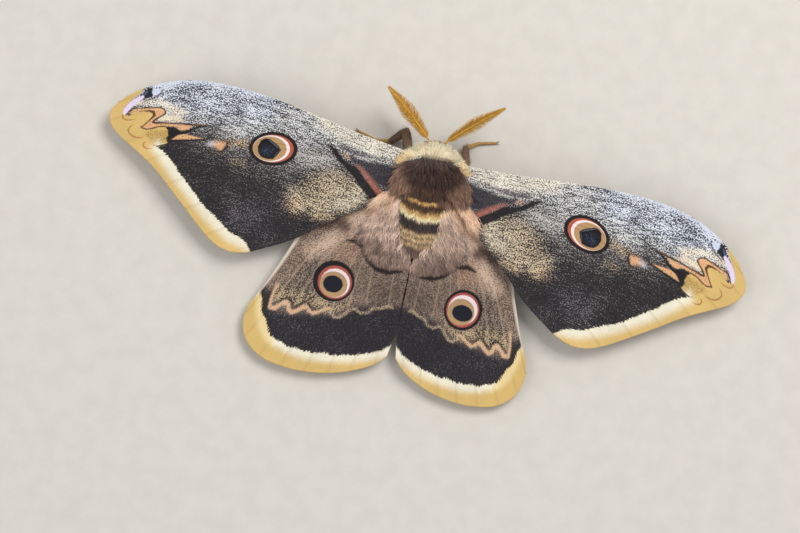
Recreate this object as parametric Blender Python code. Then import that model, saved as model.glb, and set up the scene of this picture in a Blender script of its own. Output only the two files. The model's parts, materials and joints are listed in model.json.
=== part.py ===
"""A life-size giant peacock moth at rest on a flat surface, its four wings spread.

The animal is worked out in millimetres in its own body frame: +X to its right, +Y
towards its head, +Z up, with Y = 0 at the front of its pale collar and Z = 0 at the
surface that its feet stand on. The two forewings share one plan, and so do the two
hindwings; each is swung about its hinge by its own angle, as a resting moth holds them.
"""

import itertools
import math
import random
from dataclasses import dataclass

import bmesh
import bpy
from mathutils import Matrix, Vector

MM = 0.001
GAP = 0.3  # clearance kept between pieces that touch in life
SIDES = ("left", "right")
SEED = " 1"  # follows a piece's name in the seed of its small differences
SHARP_ANGLE = 40  # degrees between two faces from which their edge is shaded sharp
WELDS = (0.004, 0.001, 0.0003)  # how near two corners of a join merge, the first that leaves it closed

# Place of the body frame in the model's frame, so that the origin is under the middle of the span
BODY_X = -0.75
BODY_Y = 19.7

# Trunk, as rings along Y: station, centre height, half width, half height
HEAD_RINGS = (
    (-2.6, 5.6, 1.5, 1.5),
    (-1.9, 5.5, 2.1, 2.0),
    (-0.8, 5.3, 2.2, 2.2),
    (0.3, 5.2, 1.9, 2.0),
    (1.1, 5.1, 1.1, 1.3),
)
COLLAR_RINGS = (
    (-3.3, 7.3, 5.0, 4.0),
    (-2.4, 7.4, 4.6, 4.1),
    (-1.3, 7.5, 3.4, 3.6),
    (-0.5, 7.7, 1.9, 2.4),
)
THORAX_RINGS = (
    (-3.6, 6.9, 4.3, 4.2),
    (-4.8, 6.9, 5.1, 4.9),
    (-6.6, 6.8, 5.3, 5.1),
    (-8.4, 6.6, 4.9, 4.8),
    (-9.6, 6.4, 4.2, 4.2),
    (-10.4, 6.2, 3.2, 3.3),
)
ABDOMEN_RINGS = (
    (-10.8, 6.0, 3.1, 3.1),
    (-13.0, 5.7, 3.6, 3.3),
    (-17.0, 5.2, 3.6, 3.2),
    (-21.0, 4.7, 3.3, 2.9),
    (-25.0, 4.2, 2.8, 2.4),
    (-28.5, 3.7, 2.1, 1.8),
    (-31.0, 3.3, 1.1, 1.0),
)
TRUNK_SIDES = 16

# Coat: how a lock runs, as shares of its length along its lie and out of the skin, and of its width
LOCK_SHAPE = ((-0.05, -0.15, 0.8), (0.45, 0.15, 1.0), (1.0, 0.21, 0.2))
LOCK_THICKNESS = 0.6
LENGTH_JITTER = 0.18
TURN_JITTER = 0.10  # how far a lock's lie strays from the even one, in radians


@dataclass(frozen=True)
class Coat:
    """The long fur of one length of the trunk, in tiers of locks that overlap like tiles."""

    tiers: int
    length: float
    spacing: float  # between the locks of one tier
    lie: tuple  # the way the hair lies: sideways out, along Y and up
    reach: float  # the Y that no tip passes
    span: tuple = (0.0, 1.0)  # the share of the rings that it grows on
    arc: tuple = (-90.0, 270.0)  # degrees round the trunk, 90 at the top


COLLAR_COATS = (
    Coat(3, length=2.7, spacing=1.75, lie=(0.85, 1.0, 0.15), reach=1.0, span=(0.15, 0.9), arc=(-12, 192)),
)
THORAX_COATS = (
    Coat(4, length=4.1, spacing=1.65, lie=(0.45, -1.0, 0.1), reach=-11.2, span=(0.03, 0.84),
         arc=(-12, 192)),
    Coat(3, length=3.8, spacing=2.5, lie=(0.3, -1.0, 0.0), reach=-11.2, span=(0.1, 0.9),
         arc=(205, 335)),
)
ABDOMEN_COATS = (
    Coat(7, length=4.4, spacing=1.9, lie=(0.15, -1.0, 0.0), reach=-33.0, span=(0.03, 0.95),
         arc=(-10, 190)),
    Coat(6, length=4.4, spacing=2.6, lie=(0.1, -1.0, 0.0), reach=-33.0, span=(0.06, 0.95),
         arc=(200, 340)),
)
FACE_COATS = (
    Coat(2, length=1.6, spacing=1.5, lie=(0.3, 0.7, -1.0), reach=1.3, span=(0.55, 0.85), arc=(-160, -20)),
)

EYE_RADIUS = 1.15
EYE_PLACE = (2.15, -0.5, 5.5)
EYE_DEPTH = 0.8  # across the body, against its radius
EYE_HEIGHT = 1.1  # against its radius
EYE_RINGS = 8
EYE_SIDES = 10

# Antennae: a shaft with a comb of rami down each side
ANTENNA_ROOT = (1.05, 0.2, 6.6)
ANTENNA_TIPS = {"left": (-11.4, 9.6, 9.4), "right": (12.2, 9.6, 9.4)}
ANTENNA_BOW = 0.25  # how far the shaft bows forward between its ends
ANTENNA_SHAFT = (0.42, 0.25)  # radius at the root and near the tip
ANTENNA_ROLL = {"left": 12.0, "right": 38.0}
RAMI = 14
RAMI_FROM = 0.13
RAMI_TO = 0.94
RAMUS_LENGTH = 1.95
RAMUS_RADIUS = 0.3
RAMUS_SHAPE = ((0.55, 0.28), (0.92, 0.72))  # shares of its length out and along, at its knee and its tip
RAMUS_KNEE = 0.87  # its radius there against the root's
RAMUS_TIP = 0.08
RAMUS_JITTER = 0.06

# Wings
WING_THICKNESS = 0.5
RIDGE_HEIGHT = 0.28
RIDGE_HALF_WIDTH = 0.34
CUTTER_COLUMNS = (0.0, 0.3, 0.6, 0.76, 0.84, 0.9, 0.95, 1.0)  # of the form that cuts a wing's slot


@dataclass(frozen=True)
class Vein:
    """One vein's run across a wing, from 0 at the front edge to 1 at the inner margin."""

    root: float
    end: float
    fork: float = 0.0  # the share of the wing's length where it leaves its stem
    stop: float = 1.0  # the share of the wing's length where it fades out


@dataclass(frozen=True)
class WingPlan:
    """The outline of a wing in its own frame, in four curves, and its veins."""

    costa: tuple
    margin: tuple
    inner: tuple
    veins: tuple
    rows: tuple


FOREWING = WingPlan(
    costa=(
        (-1.4, 1.6),
        (5.0, 2.9),
        (13.0, 4.4),
        (25.7, 7.3),
        (38.0, 9.1),
        (47.5, 8.8),
        (54.5, 6.5),
        (59.3, 3.6),
    ),
    margin=(
        (59.3, 3.6),
        (62.4, -0.6),
        (60.9, -4.7),
        (53.4, -10.3),
        (46.4, -16.4),
        (39.0, -22.2),
        (34.2, -23.7),
        (30.2, -22.9),
    ),
    inner=((-1.2, -3.6), (3.0, -6.4), (7.9, -9.8), (15.2, -14.4), (22.3, -19.3), (30.2, -22.9)),
    veins=(
        Vein(0.12, 0.035, stop=0.72),
        Vein(0.27, 0.045),
        Vein(0.30, 0.150, fork=0.50),
        Vein(0.33, 0.270, fork=0.44),
        Vein(0.36, 0.390, fork=0.44),
        Vein(0.52, 0.520, fork=0.42),
        Vein(0.56, 0.650, fork=0.36),
        Vein(0.60, 0.790),
        Vein(0.84, 0.930),
    ),
    rows=(0.0, 0.07, 0.16, 0.26, 0.36, 0.46, 0.56, 0.66, 0.76, 0.85, 0.93, 1.0),
)
HINDWING = WingPlan(
    costa=(
        (2.6, -7.6),
        (8.6, -9.8),
        (15.5, -14.0),
        (20.6, -20.0),
        (23.4, -27.0),
        (26.0, -33.5),
        (28.4, -38.6),
    ),
    margin=(
        (28.4, -38.6),
        (28.9, -42.0),
        (27.6, -45.8),
        (24.3, -48.5),
        (19.5, -49.6),
        (14.0, -49.5),
        (8.5, -48.2),
        (3.5, -45.8),
        (0.9, -43.3),
    ),
    inner=(
        (2.9, -10.6),
        (3.2, -13.2),
        (2.5, -16.8),
        (1.0, -20.2),
        (0.2, -23.5),
        (0.15, -31.0),
        (0.2, -38.0),
        (0.9, -43.3),
    ),
    veins=(
        Vein(0.10, 0.06),
        Vein(0.30, 0.18),
        Vein(0.34, 0.31, fork=0.30),
        Vein(0.38, 0.43, fork=0.30),
        Vein(0.50, 0.55, fork=0.30),
        Vein(0.55, 0.67, fork=0.26),
        Vein(0.60, 0.79),
        Vein(0.82, 0.92),
    ),
    rows=(0.0, 0.10, 0.21, 0.32, 0.43, 0.54, 0.65, 0.76, 0.86, 0.94, 1.0),
)
FOREWING_HINGE = {"left": (-3.4, -4.7), "right": (5.0, -5.0)}
FOREWING_SWEEP = {"left": 0.3, "right": 10.3}  # degrees back from square to the body
HINDWING_SWING = 1.3  # degrees that both hindwings are swung to the left
HINDWING_SPREAD = {"left": 1.063, "right": 0.937}  # how wide each one is fanned out
HINDWING_MEET = -0.3  # where the line between the two hindwings lies
MARGIN_CURL = {"left": 1.9, "right": 0.3}  # how far each forewing's outer margin is bowed in
MARGIN_BOW = (-0.55, 0.83)  # the way that it is bowed

FOREWING_ROOT_HEIGHT = 10.2
FOREWING_TIP_DROP = 6.9
FOREWING_SPAN = 66.0
FOREWING_CAMBER = 0.0047  # drop in mm for each square mm behind the front edge
HINDWING_ROOT = (4.5, -9.0, 8.3)
HINDWING_EDGE_HEIGHT = 2.1
DRAPE_SLACK = 0.12  # further clearance between the abdomen's fur and the wings over it
HINDWING_REACH = 22.0  # distance over which a hindwing comes down to its edge
DRAPE_HALF_WIDTH = 6.6  # half width of the tent that the hindwings make over the abdomen
DRAPE_RIDGE = (
    (-6.0, 8.8),
    (-13.0, 9.7),
    (-20.0, 9.4),
    (-26.0, 7.9),
    (-31.0, 6.2),
    (-37.0, 4.5),
    (-45.0, 2.9),
    (-52.0, 2.2),
)

# Long hair on the inner base of the hindwings
HAIR_SHAPE = ((0.0, 0.0, 0.4), (0.36, 0.12, 0.95), (1.0, 0.19, 0.2))
HAIR_TIERS = 2
HAIR_ROW = 5
HAIR_LENGTH = 5.4
HAIR_SPACING = 1.45
HAIR_WIDTH = 0.95  # of a lock, against the spacing
HAIR_STEP = 0.35  # how much further back each lock of a tier starts
HAIR_INWARDS = 0.18  # how far its lie leans towards the middle
HAIR_TIER_STEP = 3.4
HAIR_START = -13.6

# Legs, as hip, knee and the other joints to the claw, for the right side unless it is named
LEGS = {
    "fore": (
        (1.6, -3.6, 3.4),
        (4.6, -4.0, 4.6),
        (6.5, -2.4, 3.6),
        (6.0, 0.9, 1.6),
        (8.4, 2.3, 0.5),
        (11.8, 3.0, 0.3),
    ),
    "fore_left": (
        (1.6, -3.6, 3.4),
        (5.2, -2.6, 4.4),
        (6.4, 1.9, 3.0),
        (9.2, -0.6, 1.1),
        (12.2, -0.8, 0.5),
        (16.0, 0.4, 0.3),
    ),
    "mid": (
        (2.2, -6.6, 2.8),
        (5.6, -6.2, 4.4),
        (8.2, -6.0, 4.0),
        (11.0, -7.0, 1.6),
        (12.6, -8.0, 0.5),
        (15.4, -9.6, 0.3),
    ),
    "hind": (
        (2.2, -9.0, 2.8),
        (5.2, -10.8, 4.0),
        (7.0, -12.6, 3.6),
        (8.6, -16.4, 1.4),
        (9.4, -18.2, 0.5),
        (10.6, -21.4, 0.3),
    ),
}
LEG_RADII = (1.0, 1.15, 1.1, 0.55, 0.36, 0.3)
LEG_SWELL = (1.1, 1.15, 1.3, 0.95, 0.9)  # how full each length of a leg is midway
LEG_SIDES = 8
CLAW_LENGTH = 0.9
CLAW_RADII = (0.22, 0.16, 0.05)
CLAW_SPREAD = (0.06, 0.32, 0.4)  # how far each place of a claw is off the foot's line
PALP = ((0.7, -0.9, 4.4), (0.85, 0.4, 3.4), (0.8, 1.3, 3.3))
PALP_RADII = (0.6, 0.5, 0.25)

BROWN = (0.09, 0.05, 0.04)
CREAM = (0.80, 0.70, 0.50)
WING_BROWN = (0.07, 0.06, 0.06)
WING_TAUPE = (0.20, 0.14, 0.12)
ORANGE = (0.65, 0.36, 0.05)
TAN = (0.34, 0.22, 0.10)
BLACK = (0.01, 0.01, 0.012)


def clear_scene():
    """Removes what the start-up scene holds."""
    for obj in list(bpy.data.objects):
        bpy.data.objects.remove(obj)


def material(name, color, roughness):
    """A plain material of one colour."""
    made = bpy.data.materials.get(name) or bpy.data.materials.new(name)
    made.use_nodes = True
    shader = made.node_tree.nodes["Principled BSDF"]
    shader.inputs["Base Color"].default_value = (*color, 1.0)
    shader.inputs["Roughness"].default_value = roughness
    shader.inputs["Metallic"].default_value = 0.0
    return made


def add_object(name, points, faces, finish=None):
    """A mesh object from points in millimetres in the body frame, facing outwards."""
    mesh = bpy.data.meshes.new(name)
    places = [((p[0] + BODY_X) * MM, (p[1] + BODY_Y) * MM, p[2] * MM) for p in points]
    mesh.from_pydata(places, [], faces)
    bm = bmesh.new()
    bm.from_mesh(mesh)
    bmesh.ops.recalc_face_normals(bm, faces=bm.faces)
    bm.to_mesh(mesh)
    bm.free()
    if finish:
        mesh.materials.append(finish)
    obj = bpy.data.objects.new(name, mesh)
    bpy.context.scene.collection.objects.link(obj)
    return obj


def smooth_curve(points, count):
    """Evenly spaced points on a Catmull-Rom curve through the given ones."""
    knots = [Vector(p) for p in points]
    knots = [2 * knots[0] - knots[1], *knots, 2 * knots[-1] - knots[-2]]
    fine = []
    steps = 16
    for a, b, c, d in zip(knots, knots[1:], knots[2:], knots[3:]):
        for i in range(steps):
            t = i / steps
            square = (2 * a - 5 * b + 4 * c - d) * t**2
            cube = (3 * b - a - 3 * c + d) * t**3
            fine.append(0.5 * (2 * b + (c - a) * t + square + cube))
    fine.append(knots[-2])
    lengths = [0.0]
    for a, b in zip(fine, fine[1:]):
        lengths.append(lengths[-1] + (b - a).length)
    even = []
    at = 0
    for i in range(count):
        goal = lengths[-1] * i / (count - 1)
        while at < len(fine) - 2 and lengths[at + 1] < goal:
            at += 1
        share = (goal - lengths[at]) / (lengths[at + 1] - lengths[at])
        even.append(fine[at].lerp(fine[at + 1], share))
    return even


def at_share(curve, share):
    """The point at a share of an evenly spaced curve's length."""
    place = share * (len(curve) - 1)
    index = min(int(place), len(curve) - 2)
    return curve[index].lerp(curve[index + 1], place - index)


def ease(value):
    """A smooth step from 0 to 1."""
    value = min(max(value, 0.0), 1.0)
    return value * value * (3 - 2 * value)


def interpolate(table, at):
    """The value at a place in a table of (place, value) pairs whose places fall."""
    for (a, va), (b, vb) in zip(table, table[1:]):
        if at >= b:
            return va + (vb - va) * min(max((at - a) / (b - a), 0.0), 1.0)
    return table[-1][1]


def ring_points(centre, across, up, half_width, half_height, sides):
    """The points of an ellipse about a centre."""
    made = []
    for i in range(sides):
        angle = 2 * math.pi * i / sides
        made.append(centre + across * (half_width * math.cos(angle)) + up * (half_height * math.sin(angle)))
    return made


def skin_rings(rings):
    """Points and faces of a closed skin over rings of equal counts, each end drawn to a cap."""
    sides = len(rings[0])
    points = [p for ring in rings for p in ring]
    faces = []
    for r in range(len(rings) - 1):
        for i in range(sides):
            a, b = r * sides + i, r * sides + (i + 1) % sides
            faces.append((a, b, b + sides, a + sides))
    faces.append(tuple(range(sides)))
    faces.append(tuple(reversed(range(len(points) - sides, len(points)))))
    return points, faces


def trunk_piece(name, rings, finish, grow=0.0, sides=TRUNK_SIDES):
    """A length of the trunk, lofted through its rings along Y."""
    made = []
    first, last = rings[0], rings[-1]
    across, up = Vector((1, 0, 0)), Vector((0, 0, 1))
    for station, height, half_width, half_height in rings:
        if (station, height) == first[:2]:
            station += math.copysign(grow, first[0] - last[0])
        elif (station, height) == last[:2]:
            station += math.copysign(grow, last[0] - first[0])
        centre = Vector((0, station, height))
        made.append(ring_points(centre, across, up, half_width + grow, half_height + grow, sides))
    return add_object(name, *skin_rings(made), finish)


def tube_piece(name, path, radii, finish, sides=LEG_SIDES, grow=0.0):
    """A round rod along a path of points, with a radius at each."""
    rings = []
    path = [Vector(p) for p in path]
    for i, centre in enumerate(path):
        along = (path[min(i + 1, len(path) - 1)] - path[max(i - 1, 0)]).normalized()
        across = along.cross(Vector((0, 0, 1)))
        across = across.normalized() if across.length > 1e-3 else Vector((1, 0, 0))
        up = across.cross(along)
        if i in (0, len(path) - 1):
            centre = centre + along * (grow if i else -grow)
        rings.append(ring_points(centre, across, up, radii[i] + grow, radii[i] + grow, sides))
    return add_object(name, *skin_rings(rings), finish)


def keep_largest(bm):
    """Keeps only the closed surface that encloses the most."""
    bmesh.ops.triangulate(bm, faces=bm.faces)
    left = set(bm.faces)
    islands = []
    while left:
        stack = [left.pop()]
        island = set(stack)
        while stack:
            for edge in stack.pop().edges:
                for face in edge.link_faces:
                    if face in left:
                        left.remove(face)
                        island.add(face)
                        stack.append(face)
        corners = [[v.co for v in face.verts] for face in island]
        islands.append((sum(a.dot(b.cross(c)) for a, b, c in corners), island))
    keep = max(islands, key=lambda pair: pair[0])[1]
    bmesh.ops.delete(bm, geom=[f for f in bm.faces if f not in keep], context="FACES")


def joined_mesh(obj, group, operation, solver, weld):
    """The mesh that a Boolean with a group of closed objects gives, and whether it is closed."""
    boolean = obj.modifiers.new(operation.title(), "BOOLEAN")
    boolean.operation = operation
    boolean.solver = solver
    boolean.operand_type = "COLLECTION"
    boolean.collection = group
    bpy.context.view_layer.update()
    mesh = bpy.data.meshes.new_from_object(obj.evaluated_get(bpy.context.evaluated_depsgraph_get()))
    obj.modifiers.clear()
    bm = bmesh.new()
    bm.from_mesh(mesh)
    bmesh.ops.remove_doubles(bm, verts=bm.verts, dist=weld * MM)
    bmesh.ops.dissolve_degenerate(bm, edges=bm.edges, dist=weld * MM)
    keep_largest(bm)
    closed = all(len(edge.link_faces) == 2 for edge in bm.edges)
    bm.to_mesh(mesh)
    bm.free()
    return mesh, closed


def combine(obj, others, operation):
    """Joins the other closed objects to this one, or cuts them from it, and removes them."""
    group = bpy.data.collections.new(obj.name + "_" + operation.lower())
    for other in others:
        bpy.context.scene.collection.objects.unlink(other)
        group.objects.link(other)
    bpy.context.scene.collection.children.link(group)
    for solver, weld in itertools.product(("EXACT", "MANIFOLD"), WELDS):
        mesh, closed = joined_mesh(obj, group, operation, solver, weld)
        if closed:
            break
    obj.data = mesh
    for other in others:
        bpy.data.objects.remove(other)
    bpy.data.collections.remove(group)
    return obj


def drape_height(x, y):
    """Height of a hindwing's mid surface over a place in the body frame."""
    root_x, root_y, root_z = HINDWING_ROOT
    away = math.hypot(abs(x) - root_x, y - root_y)
    fall = math.exp(-((away / HINDWING_REACH) ** 2))
    plain = HINDWING_EDGE_HEIGHT + (root_z - HINDWING_EDGE_HEIGHT) * fall
    ridge = interpolate(DRAPE_RIDGE, y)
    return plain + max(ridge - plain, 0.0) * math.exp(-((x / DRAPE_HALF_WIDTH) ** 2))


def forewing_height(wing_x, behind):
    """Height of a forewing's mid surface, from the distance out and the distance behind its front edge."""
    droop = FOREWING_TIP_DROP * (max(wing_x, 0.0) / FOREWING_SPAN) ** 1.7
    return FOREWING_ROOT_HEIGHT - droop - FOREWING_CAMBER * behind**2


def plan_point(curves, u, v):
    """The point of a wing plan at u from root to margin and v from front edge to inner margin."""
    costa, margin, inner = curves
    root = costa[0].lerp(inner[0], v)
    front, back = at_share(costa, u), at_share(inner, u)
    corners = costa[0].lerp(costa[-1], u).lerp(inner[0].lerp(inner[-1], u), v)
    return front.lerp(back, v) + root.lerp(at_share(margin, v), u) - corners


def vein_place(vein, u):
    """Where a vein runs between the front edge and the inner margin, at a share of the wing's length."""
    start = max(vein.fork - 0.1, 0.0)
    return vein.root + (vein.end - vein.root) * ease((u - start) / (1.0 - start))


def vein_rise(vein, u):
    """How much of its full height a vein has, at a share of the wing's length."""
    fade_in = 1.0 if vein.fork == 0 else ease((u - vein.fork + 0.05) / 0.1)
    fade_out = 1.0 if vein.stop == 1 else 1.0 - ease((u - vein.stop + 0.1) / 0.1)
    return fade_in * fade_out


def vein_columns(plan, u, half_width):
    """The columns across a wing at a share of its length: where each is, and how far it is raised."""
    crests = [0.0] + [vein_place(vein, u) for vein in plan.veins] + [1.0]
    columns = [(0.0, 0.0)]
    for i, vein in enumerate(plan.veins):
        before, crest, after = crests[i : i + 3]
        rise = vein_rise(vein, u)
        foot = half_width * (0.35 + 0.65 * rise)
        columns.append((crest - min(foot, 0.4 * (crest - before)), 0.0))
        columns.append((crest, rise))
        columns.append((crest + min(foot, 0.4 * (after - crest)), 0.0))
    return columns + [(1.0, 0.0)]


def wing_rows(plan, curl=0.0, places=None):
    """The rows of a wing's grid: for each, a list of (plan point, rise of the ridge)."""
    curves = [smooth_curve(c, 60) for c in (plan.costa, plan.margin, plan.inner)]
    rows = []
    for u in plan.rows:
        chord = (plan_point(curves, u, 0.0) - plan_point(curves, u, 1.0)).length
        columns = [(v, 1.0) for v in places] if places else vein_columns(plan, u, RIDGE_HALF_WIDTH / chord)
        row = []
        for v, rise in columns:
            bowed = Vector(MARGIN_BOW) * (curl * u**3 * math.sin(math.pi * v))
            row.append((plan_point(curves, u, v) + bowed, rise))
        rows.append(row)
    return rows


def forewing_place(side, point, front_edge):
    """A forewing's plan point in the body frame, with the height of the wing there."""
    turn = math.radians(FOREWING_SWEEP[side])
    hinge = FOREWING_HINGE[side]
    out = point.x * math.cos(turn) + point.y * math.sin(turn)
    forward = point.y * math.cos(turn) - point.x * math.sin(turn)
    sign = -1 if side == "left" else 1
    height = forewing_height(out + abs(hinge[0]), front_edge.y - point.y)
    return Vector((hinge[0] + sign * out, hinge[1] + forward, height))


def hindwing_place(side, point, front_edge=None):
    """A hindwing's plan point in the body frame, with the height of the wing there."""
    sign = -1 if side == "left" else 1
    x = sign * point.x * HINDWING_SPREAD[side] + HINDWING_MEET * ease(-point.y / 20)
    turn = math.radians(-HINDWING_SWING)
    along = point.y - HINDWING_ROOT[1]
    out = x * math.cos(turn) - along * math.sin(turn)
    forward = HINDWING_ROOT[1] + x * math.sin(turn) + along * math.cos(turn)
    return Vector((out, forward, drape_height(out + along * math.sin(turn), forward)))


def widen(rows, distance):
    """Moves the borders of a grid of points outwards, all but its last row's."""
    for row in rows:
        row[0] = row[0] + (row[0] - row[1]).normalized() * distance
        row[-1] = row[-1] + (row[-1] - row[-2]).normalized() * distance
    rows[0] = [a + (a - b).normalized() * distance for a, b in zip(rows[0], rows[1])]


def wing_piece(name, side, plan, finish, grow=0.0, rows=None):
    """A wing: a thin curved blade, its veins raised in its upper face. A grown one has no veins."""
    curl = MARGIN_CURL[side] if plan is FOREWING else 0.0
    place = forewing_place if plan is FOREWING else hindwing_place
    grid = wing_rows(plan, curl, CUTTER_COLUMNS if grow else None)[:rows]
    middle = [[place(side, point, row[0][0]) for point, rise in row] for row in grid]
    if grow:
        widen(middle, grow)
    half = WING_THICKNESS / 2 + grow
    upper, lower = [], []
    for row, points in zip(grid, middle):
        for (_, rise), mid in zip(row, points):
            upper.append(mid + Vector((0, 0, half + RIDGE_HEIGHT * rise)))
            lower.append(mid - Vector((0, 0, half)))
    count, width = len(upper), len(grid[0])
    faces = []
    for r in range(len(grid) - 1):
        for c in range(width - 1):
            a = r * width + c
            for corners in ((a, a + 1, a + width + 1), (a, a + width + 1, a + width)):
                faces.append(corners)
                faces.append(tuple(count + i for i in reversed(corners)))
    border = list(range(width))
    border += [(r + 1) * width - 1 for r in range(1, len(grid))]
    border += [(len(grid) - 1) * width + c for c in reversed(range(width - 1))]
    border += [r * width for r in reversed(range(1, len(grid) - 1))]
    for a, b in zip(border, border[1:] + border[:1]):
        faces.append((a, count + a, count + b))
        faces.append((a, count + b, b))
    return add_object(name, upper + lower, faces, finish)


def mirrored(point, side):
    """A right-hand place, or its mirror image for the left side."""
    return (point[0] if side == "right" else -point[0], point[1], point[2])


def leg_piece(name, side, joints, finish, grow=0.0, count=None):
    """A leg from hip to claws, its last joint pressed flat on the surface."""
    bends = [Vector(mirrored(p, side)) for p in joints[:count]]
    path, radii = [bends[0]], [LEG_RADII[0]]
    for i in range(len(bends) - 1):
        path += [bends[i].lerp(bends[i + 1], 0.5), bends[i + 1]]
        radii += [(LEG_RADII[i] + LEG_RADII[i + 1]) / 2 * LEG_SWELL[i], LEG_RADII[i + 1]]
    leg = tube_piece(name, path, radii, finish, grow=grow)
    if grow:
        return leg
    foot, ankle = Vector(path[-1]), Vector(path[-2])
    along = (foot - ankle).normalized()
    across = along.cross(Vector((0, 0, 1)))
    claws = []
    for turn in (-1, 1):
        spread = [across * (aside * turn) for aside in CLAW_SPREAD]
        start = foot - along * 0.3 + spread[0]
        middle = foot + along * (0.5 * CLAW_LENGTH) + spread[1] + Vector((0, 0, 0.12))
        tip = foot + along * CLAW_LENGTH + spread[2] - Vector((0, 0, 0.1))
        claws.append(tube_piece("claw", (start, middle, tip), CLAW_RADII, finish, sides=5))
    combine(leg, claws, "UNION")
    press_flat(leg)
    return leg


def press_flat(obj):
    """Cuts away what lies below the surface, which leaves a flat sole."""
    bm = bmesh.new()
    bm.from_mesh(obj.data)
    whole = bm.verts[:] + bm.edges[:] + bm.faces[:]
    cut = bmesh.ops.bisect_plane(bm, geom=whole, plane_co=(0, 0, 0), plane_no=(0, 0, 1), clear_inner=True)
    edges = [e for e in cut["geom_cut"] if isinstance(e, bmesh.types.BMEdge)]
    bmesh.ops.edgeloop_fill(bm, edges=edges)
    bmesh.ops.triangulate(bm, faces=bm.faces)
    bm.to_mesh(obj.data)
    bm.free()


def antenna_path(side, count=9):
    """The points of an antenna's shaft, bowed forward."""
    sign = -1 if side == "left" else 1
    root, tip = Vector(mirrored(ANTENNA_ROOT, side)), Vector(ANTENNA_TIPS[side])
    line = tip - root
    forward = Vector((-line.y * sign, line.x * sign, 0)).normalized()
    path = []
    for i in range(count):
        t = i / (count - 1)
        path.append(root + line * t + forward * (4 * ANTENNA_BOW * t * (1 - t)))
    return path


def antenna_piece(name, side, finish, grow=0.0):
    """An antenna: a shaft with a comb of rami down each side, like a feather."""
    random.seed(name + SEED)
    path = antenna_path(side)
    thick, thin = ANTENNA_SHAFT
    radii = [thick + (thin - thick) * i / (len(path) - 1) for i in range(len(path))]
    if grow:
        return tube_piece(name, path[:3], radii, finish, sides=8, grow=grow)
    shaft = tube_piece(name, path, radii, finish, sides=6)
    rami = []
    roll = math.radians(ANTENNA_ROLL[side])
    for i in range(RAMI):
        t = RAMI_FROM + (RAMI_TO - RAMI_FROM) * i / (RAMI - 1)
        place = at_share(path, t)
        along = (at_share(path, min(t + 0.05, 1.0)) - at_share(path, t - 0.05)).normalized()
        flat = along.cross(Vector((0, 0, 1))).normalized()
        flat.rotate(Matrix.Rotation(roll, 3, along))
        share = min(1.0, 0.45 + 3.2 * (t - RAMI_FROM)) * min(1.0, 0.25 + 1.5 * (1 - t))
        for turn in (-1, 1):
            length = RAMUS_LENGTH * share * random.uniform(1 - RAMUS_JITTER, 1 + RAMUS_JITTER)
            out = flat * turn
            knee, end = (place + out * (a * length) + along * (b * length) for a, b in RAMUS_SHAPE)
            root = place - out * random.uniform(0.05, 0.1)
            thick = RAMUS_RADIUS * (0.75 + 0.25 * share)
            radii = (thick, RAMUS_KNEE * thick, RAMUS_TIP)
            rami.append(tube_piece("ramus", (root, knee, end), radii, finish, sides=3))
    return combine(shaft, rami, "UNION")


def eye_piece(name, side, finish, grow=0.0):
    """A compound eye: a slightly flattened ball at the side of the head."""
    centre = Vector(mirrored(EYE_PLACE, side))
    rings = []
    radius = EYE_RADIUS + grow
    for i in range(EYE_RINGS):
        angle = math.pi * (i + 0.35) / (EYE_RINGS - 0.3)
        middle = centre + Vector((radius * EYE_DEPTH * math.cos(angle), 0, 0))
        size = radius * math.sin(angle)
        ring = ring_points(middle, Vector((0, 1, 0)), Vector((0, 0, 1)), size, size * EYE_HEIGHT, EYE_SIDES)
        rings.append(ring)
    return add_object(name, *skin_rings(rings), finish)


def ring_at(rings, share):
    """The trunk's ring at a share of the way along its rings."""
    place = share * (len(rings) - 1)
    index = min(int(place), len(rings) - 2)
    rest = place - index
    return [a + (b - a) * rest for a, b in zip(rings[index], rings[index + 1])]


def skin_point(rings, share, angle):
    """The place on the trunk's skin at an angle round it, 90 degrees at the top, and the way out there."""
    def point(s, a):
        station, height, half_width, half_height = ring_at(rings, s)
        return Vector((half_width * math.cos(a), station, height + half_height * math.sin(a)))

    place = point(share, angle)
    along = point(min(share + 0.04, 1.0), angle) - point(max(share - 0.04, 0.0), angle)
    around = point(share, angle + 0.1) - point(share, angle - 0.1)
    out = around.cross(along).normalized()
    if out.dot(place - Vector((0, place.y, ring_at(rings, share)[1]))) < 0:
        out = -out
    return place, out


def lock_piece(root, lie, out, length, width, shape=LOCK_SHAPE):
    """A flat tapered lock of hair, which leaves the skin and bends over along its lie."""
    across = lie.cross(out).normalized()
    rings = []
    for along, rise, size in shape:
        centre = root + lie * (length * along) + out * (length * rise)
        edge = across * (width / 2 * size)
        thickness = out * (LOCK_THICKNESS * min(1.0, size + 0.15))
        under = centre - thickness * 0.4
        rings.append([under - edge, under + edge, centre + thickness * 0.6])
    return add_object("lock", *skin_rings(rings))


def coated(name, rings, coats, finish, others=()):
    """A length of the trunk joined with its coat and other pieces."""
    random.seed(name + SEED)
    locks = list(others)
    for coat in coats:
        locks += coat_pieces(rings, coat)
    return combine(trunk_piece(name, rings, finish), locks, "UNION")


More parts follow.
